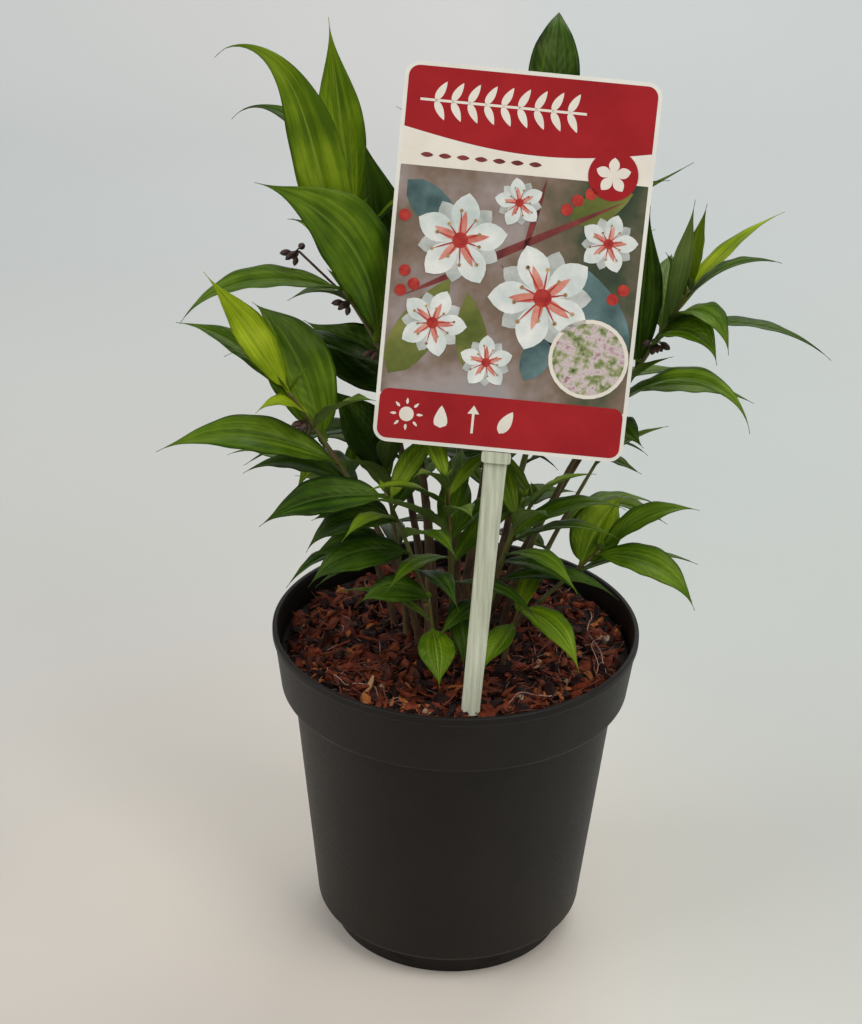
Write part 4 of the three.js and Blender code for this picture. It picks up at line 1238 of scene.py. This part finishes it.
def stake_half(up):
    if up < STAKE_POINT - STAKE_IN:
        return max(STAKE_TIP_HALF, STAKE_FOOT_WIDE / 2 * (up + STAKE_IN) / STAKE_POINT)
    climb = (up - STAKE_POINT + STAKE_IN) / (STAKE_OUT - SHOULDER_TALL - STAKE_POINT + STAKE_IN)
    return (STAKE_FOOT_WIDE + (STAKE_TOP_WIDE - STAKE_FOOT_WIDE) * min(1.0, climb)) / 2


ribbed_length = STAKE_OUT - SHOULDER_TALL + STAKE_RIBS_IN
levels = [-STAKE_IN, STAKE_POINT - STAKE_IN]
levels += [-STAKE_RIBS_IN + ribbed_length * i / STAKE_STEPS for i in range(STAKE_STEPS + 1)]
levels += [STAKE_OUT + TONGUE_TALL - STAKE_TOP_TALL, STAKE_OUT + TONGUE_TALL]
stake_points = []
for up in levels:
    ease = STAKE_TOP_EASE if up == levels[-1] else 1.0
    for across, out in STAKE_SECTION:
        depth = STAKE_THICK * (min(out, TONGUE_FRONT) if up > STAKE_OUT - SHOULDER_TALL else out)
        stake_points.append((across * stake_half(up) * ease, up, depth - STAKE_THICK / 2))
stake_faces = capped(len(levels), len(STAKE_SECTION))
shoulder_outline = round_box(-SHOULDER_WIDE / 2, -SHOULDER_TALL, SHOULDER_WIDE / 2, -SHOULDER_UNDER,
                             SHOULDER_EASE, 4)
shoulder_slab = slab(shoulder_outline, 0, STAKE_THICK + GAP + CARD_THICK)
stake_white = speckled("stake_white", STAKE_WHITE, 90.0, (0.3, 0.5), 0.05, 500.0, (6, 1, 0.25),
                       Coat_Weight=0.15)
stake = make_piece("label_stake_moulding", on_label(stake_points), stake_faces, [stake_white], smooth=False)
shoulder = make_piece("label_shoulder", *shoulder_slab, [stake_white], smooth=False)
for piece in (stake, shoulder):
    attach(piece, "root")
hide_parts("label_stake")

# The pot stands on a pale floor that sweeps up behind it. Soft light comes from a wide panel high on the
# right, a weaker one on the left and the pale room all round. The camera looks down on it from the front.
FLOOR_NEAR = [(0.545, 0.495, 0.445), (0.565, 0.520, 0.470)]
FLOOR_FAR = [(0.515, 0.520, 0.512), (0.540, 0.548, 0.536)]
FLOOR_FADE = (-0.25, 0.9)
# Painted light and shade on the floor: each tint comes in from start to full, by the distance from a spot
# or by the way along a direction. The first brightens and warms the floor round the pot's foot, a painted
# light over the pot's cast shadow. The others darken it on the right, at the front left and behind the pot,
# and lighten it far back and at the back right: painted light and shade.
FLOOR_PAINTED_LIGHT_AND_SHADE = [
    ("DISTANCE", (-0.06, 0.03, 0.0), 0.30, 0.06, (1.19, 1.14, 1.08, 1.0)),
    ("DOT_PRODUCT", (1.0, 0.0, 0.0), 0.02, 0.12, (0.92, 0.975, 0.98, 1.0)),
    ("DOT_PRODUCT", (-1.0, -1.0, 0.0), 0.10, 0.22, (0.89, 0.89, 0.90, 1.0)),
    ("DOT_PRODUCT", (0.0, 1.0, 0.0), 0.1, 0.4, (0.955, 0.97, 0.965, 1.0)),
    ("DOT_PRODUCT", (0.0, 1.0, 0.0), 0.6, 1.25, (1.07, 1.07, 1.08, 1.0)),
    ("DOT_PRODUCT", (1.0, 1.0, 0.0), 0.5, 1.4, (1.12, 1.06, 1.05, 1.0)),
]
SWEEP_START = 1.1
SWEEP_RADIUS = 0.6
SWEEP_STEPS = 12
SWEEP_TOP = 2.4
FLOOR_HALF = 3.0
FLOOR_FRONT = -2.4
AIM = Vector((-0.012, 0.0, 0.203))
ELEVATION = math.radians(26.8)
DISTANCE = 1.0316
ROLL = math.radians(1.4)
LENS = 85.0
CLIP_START = 0.05
WORLD = (0.86, 0.90, 0.92, 1.0)
WORLD_STRENGTH = 0.59
PANELS = [
    ("key_panel", (1.1, -0.9, 1.9), 1.5, 26.0, (1.0, 0.985, 0.96)),
    ("fill_panel", (-1.5, -0.5, 1.3), 1.4, 14.0, (0.97, 0.98, 1.0)),
    ("back_panel", (0.4, 1.0, 1.7), 1.0, 11.0, (0.98, 1.0, 1.0)),
]

profile = [(FLOOR_FRONT, 0.0), (SWEEP_START, 0.0)]
for i in range(1, SWEEP_STEPS + 1):
    angle = math.pi / 2 * i / SWEEP_STEPS
    profile.append((SWEEP_START + SWEEP_RADIUS * math.sin(angle), SWEEP_RADIUS * (1 - math.cos(angle))))
profile.append((SWEEP_START + SWEEP_RADIUS, SWEEP_TOP))
floor_mesh = bpy.data.meshes.new("floor")
floor_points = [(x, y, z) for y, z in profile for x in (-FLOOR_HALF, FLOOR_HALF)]
floor_faces = [(2 * i, 2 * i + 1, 2 * i + 3, 2 * i + 2) for i in range(len(profile) - 1)]
floor_mesh.from_pydata(floor_points, [], floor_faces)
floor_pale = speckled("floor_pale", FLOOR_NEAR, 2.0, (0.5, 0.6))
tree = floor_pale.node_tree
shader = tree.nodes["Principled BSDF"]
near_shade = shader.inputs["Base Color"].links[0].from_socket
spot = new_node(tree, "TexCoord").outputs["Object"]
depth = new_node(tree, "SeparateXYZ", {"Vector": spot}).outputs["Y"]
fade = ranged(tree, depth, *FLOOR_FADE)
far_shade = shades_of(tree, clouds(tree, spot, 2.0, 2.0), FLOOR_FAR)
shade = new_node(tree, "Mix", {0: fade, 6: near_shade, 7: far_shade}, data_type="RGBA").outputs[2]
# Painted light and shade: each tint multiplies the floor's colour where it comes in.
for reading, where, start, full, tint in FLOOR_PAINTED_LIGHT_AND_SHADE:
    away = new_node(tree, "VectorMath", {0: spot, 1: where}, operation=reading).outputs["Value"]
    share = ranged(tree, away, start, full, interpolation_type="SMOOTHSTEP")
    shade = new_node(tree, "Mix", {0: share, 6: shade, 7: tint}, data_type="RGBA",
                     blend_type="MULTIPLY").outputs[2]
tree.links.new(shade, shader.inputs["Base Color"])
floor_mesh.materials.append(floor_pale)
floor_mesh.polygons.foreach_set("use_smooth", [True] * len(floor_mesh.polygons))
floor = bpy.data.objects.new("floor", floor_mesh)
bpy.context.scene.collection.objects.link(floor)

for name, place, size, power, tint in PANELS:
    lamp = bpy.data.lights.new(name, "AREA")
    lamp.size = size
    lamp.energy = power
    lamp.color = tint
    holder = bpy.data.objects.new(name, lamp)
    holder.location = place
    holder.rotation_euler = (AIM - Vector(place)).to_track_quat("-Z", "Y").to_euler()
    bpy.context.scene.collection.objects.link(holder)
world = bpy.data.worlds.new("room")
world.use_nodes = True
world.node_tree.nodes["Background"].inputs["Color"].default_value = WORLD
world.node_tree.nodes["Background"].inputs["Strength"].default_value = WORLD_STRENGTH
bpy.context.scene.world = world
bpy.context.scene.view_settings.view_transform = "Standard"

camera = bpy.data.objects.new("camera", bpy.data.cameras.new("camera"))
camera.data.lens = LENS
camera.data.clip_start = CLIP_START
back = Vector((0.0, -math.cos(ELEVATION), math.sin(ELEVATION)))
level = Vector((1.0, 0.0, 0.0))
upright = level.cross(-back)
right = level * math.cos(ROLL) + upright * math.sin(ROLL)
top = upright * math.cos(ROLL) - level * math.sin(ROLL)
place = AIM + back * DISTANCE
camera.matrix_world = Matrix((
    (right.x, top.x, back.x, place.x),
    (right.y, top.y, back.y, place.y),
    (right.z, top.z, back.z, place.z),
    (0, 0, 0, 1),
))
bpy.context.scene.collection.objects.link(camera)
bpy.context.scene.camera = camera
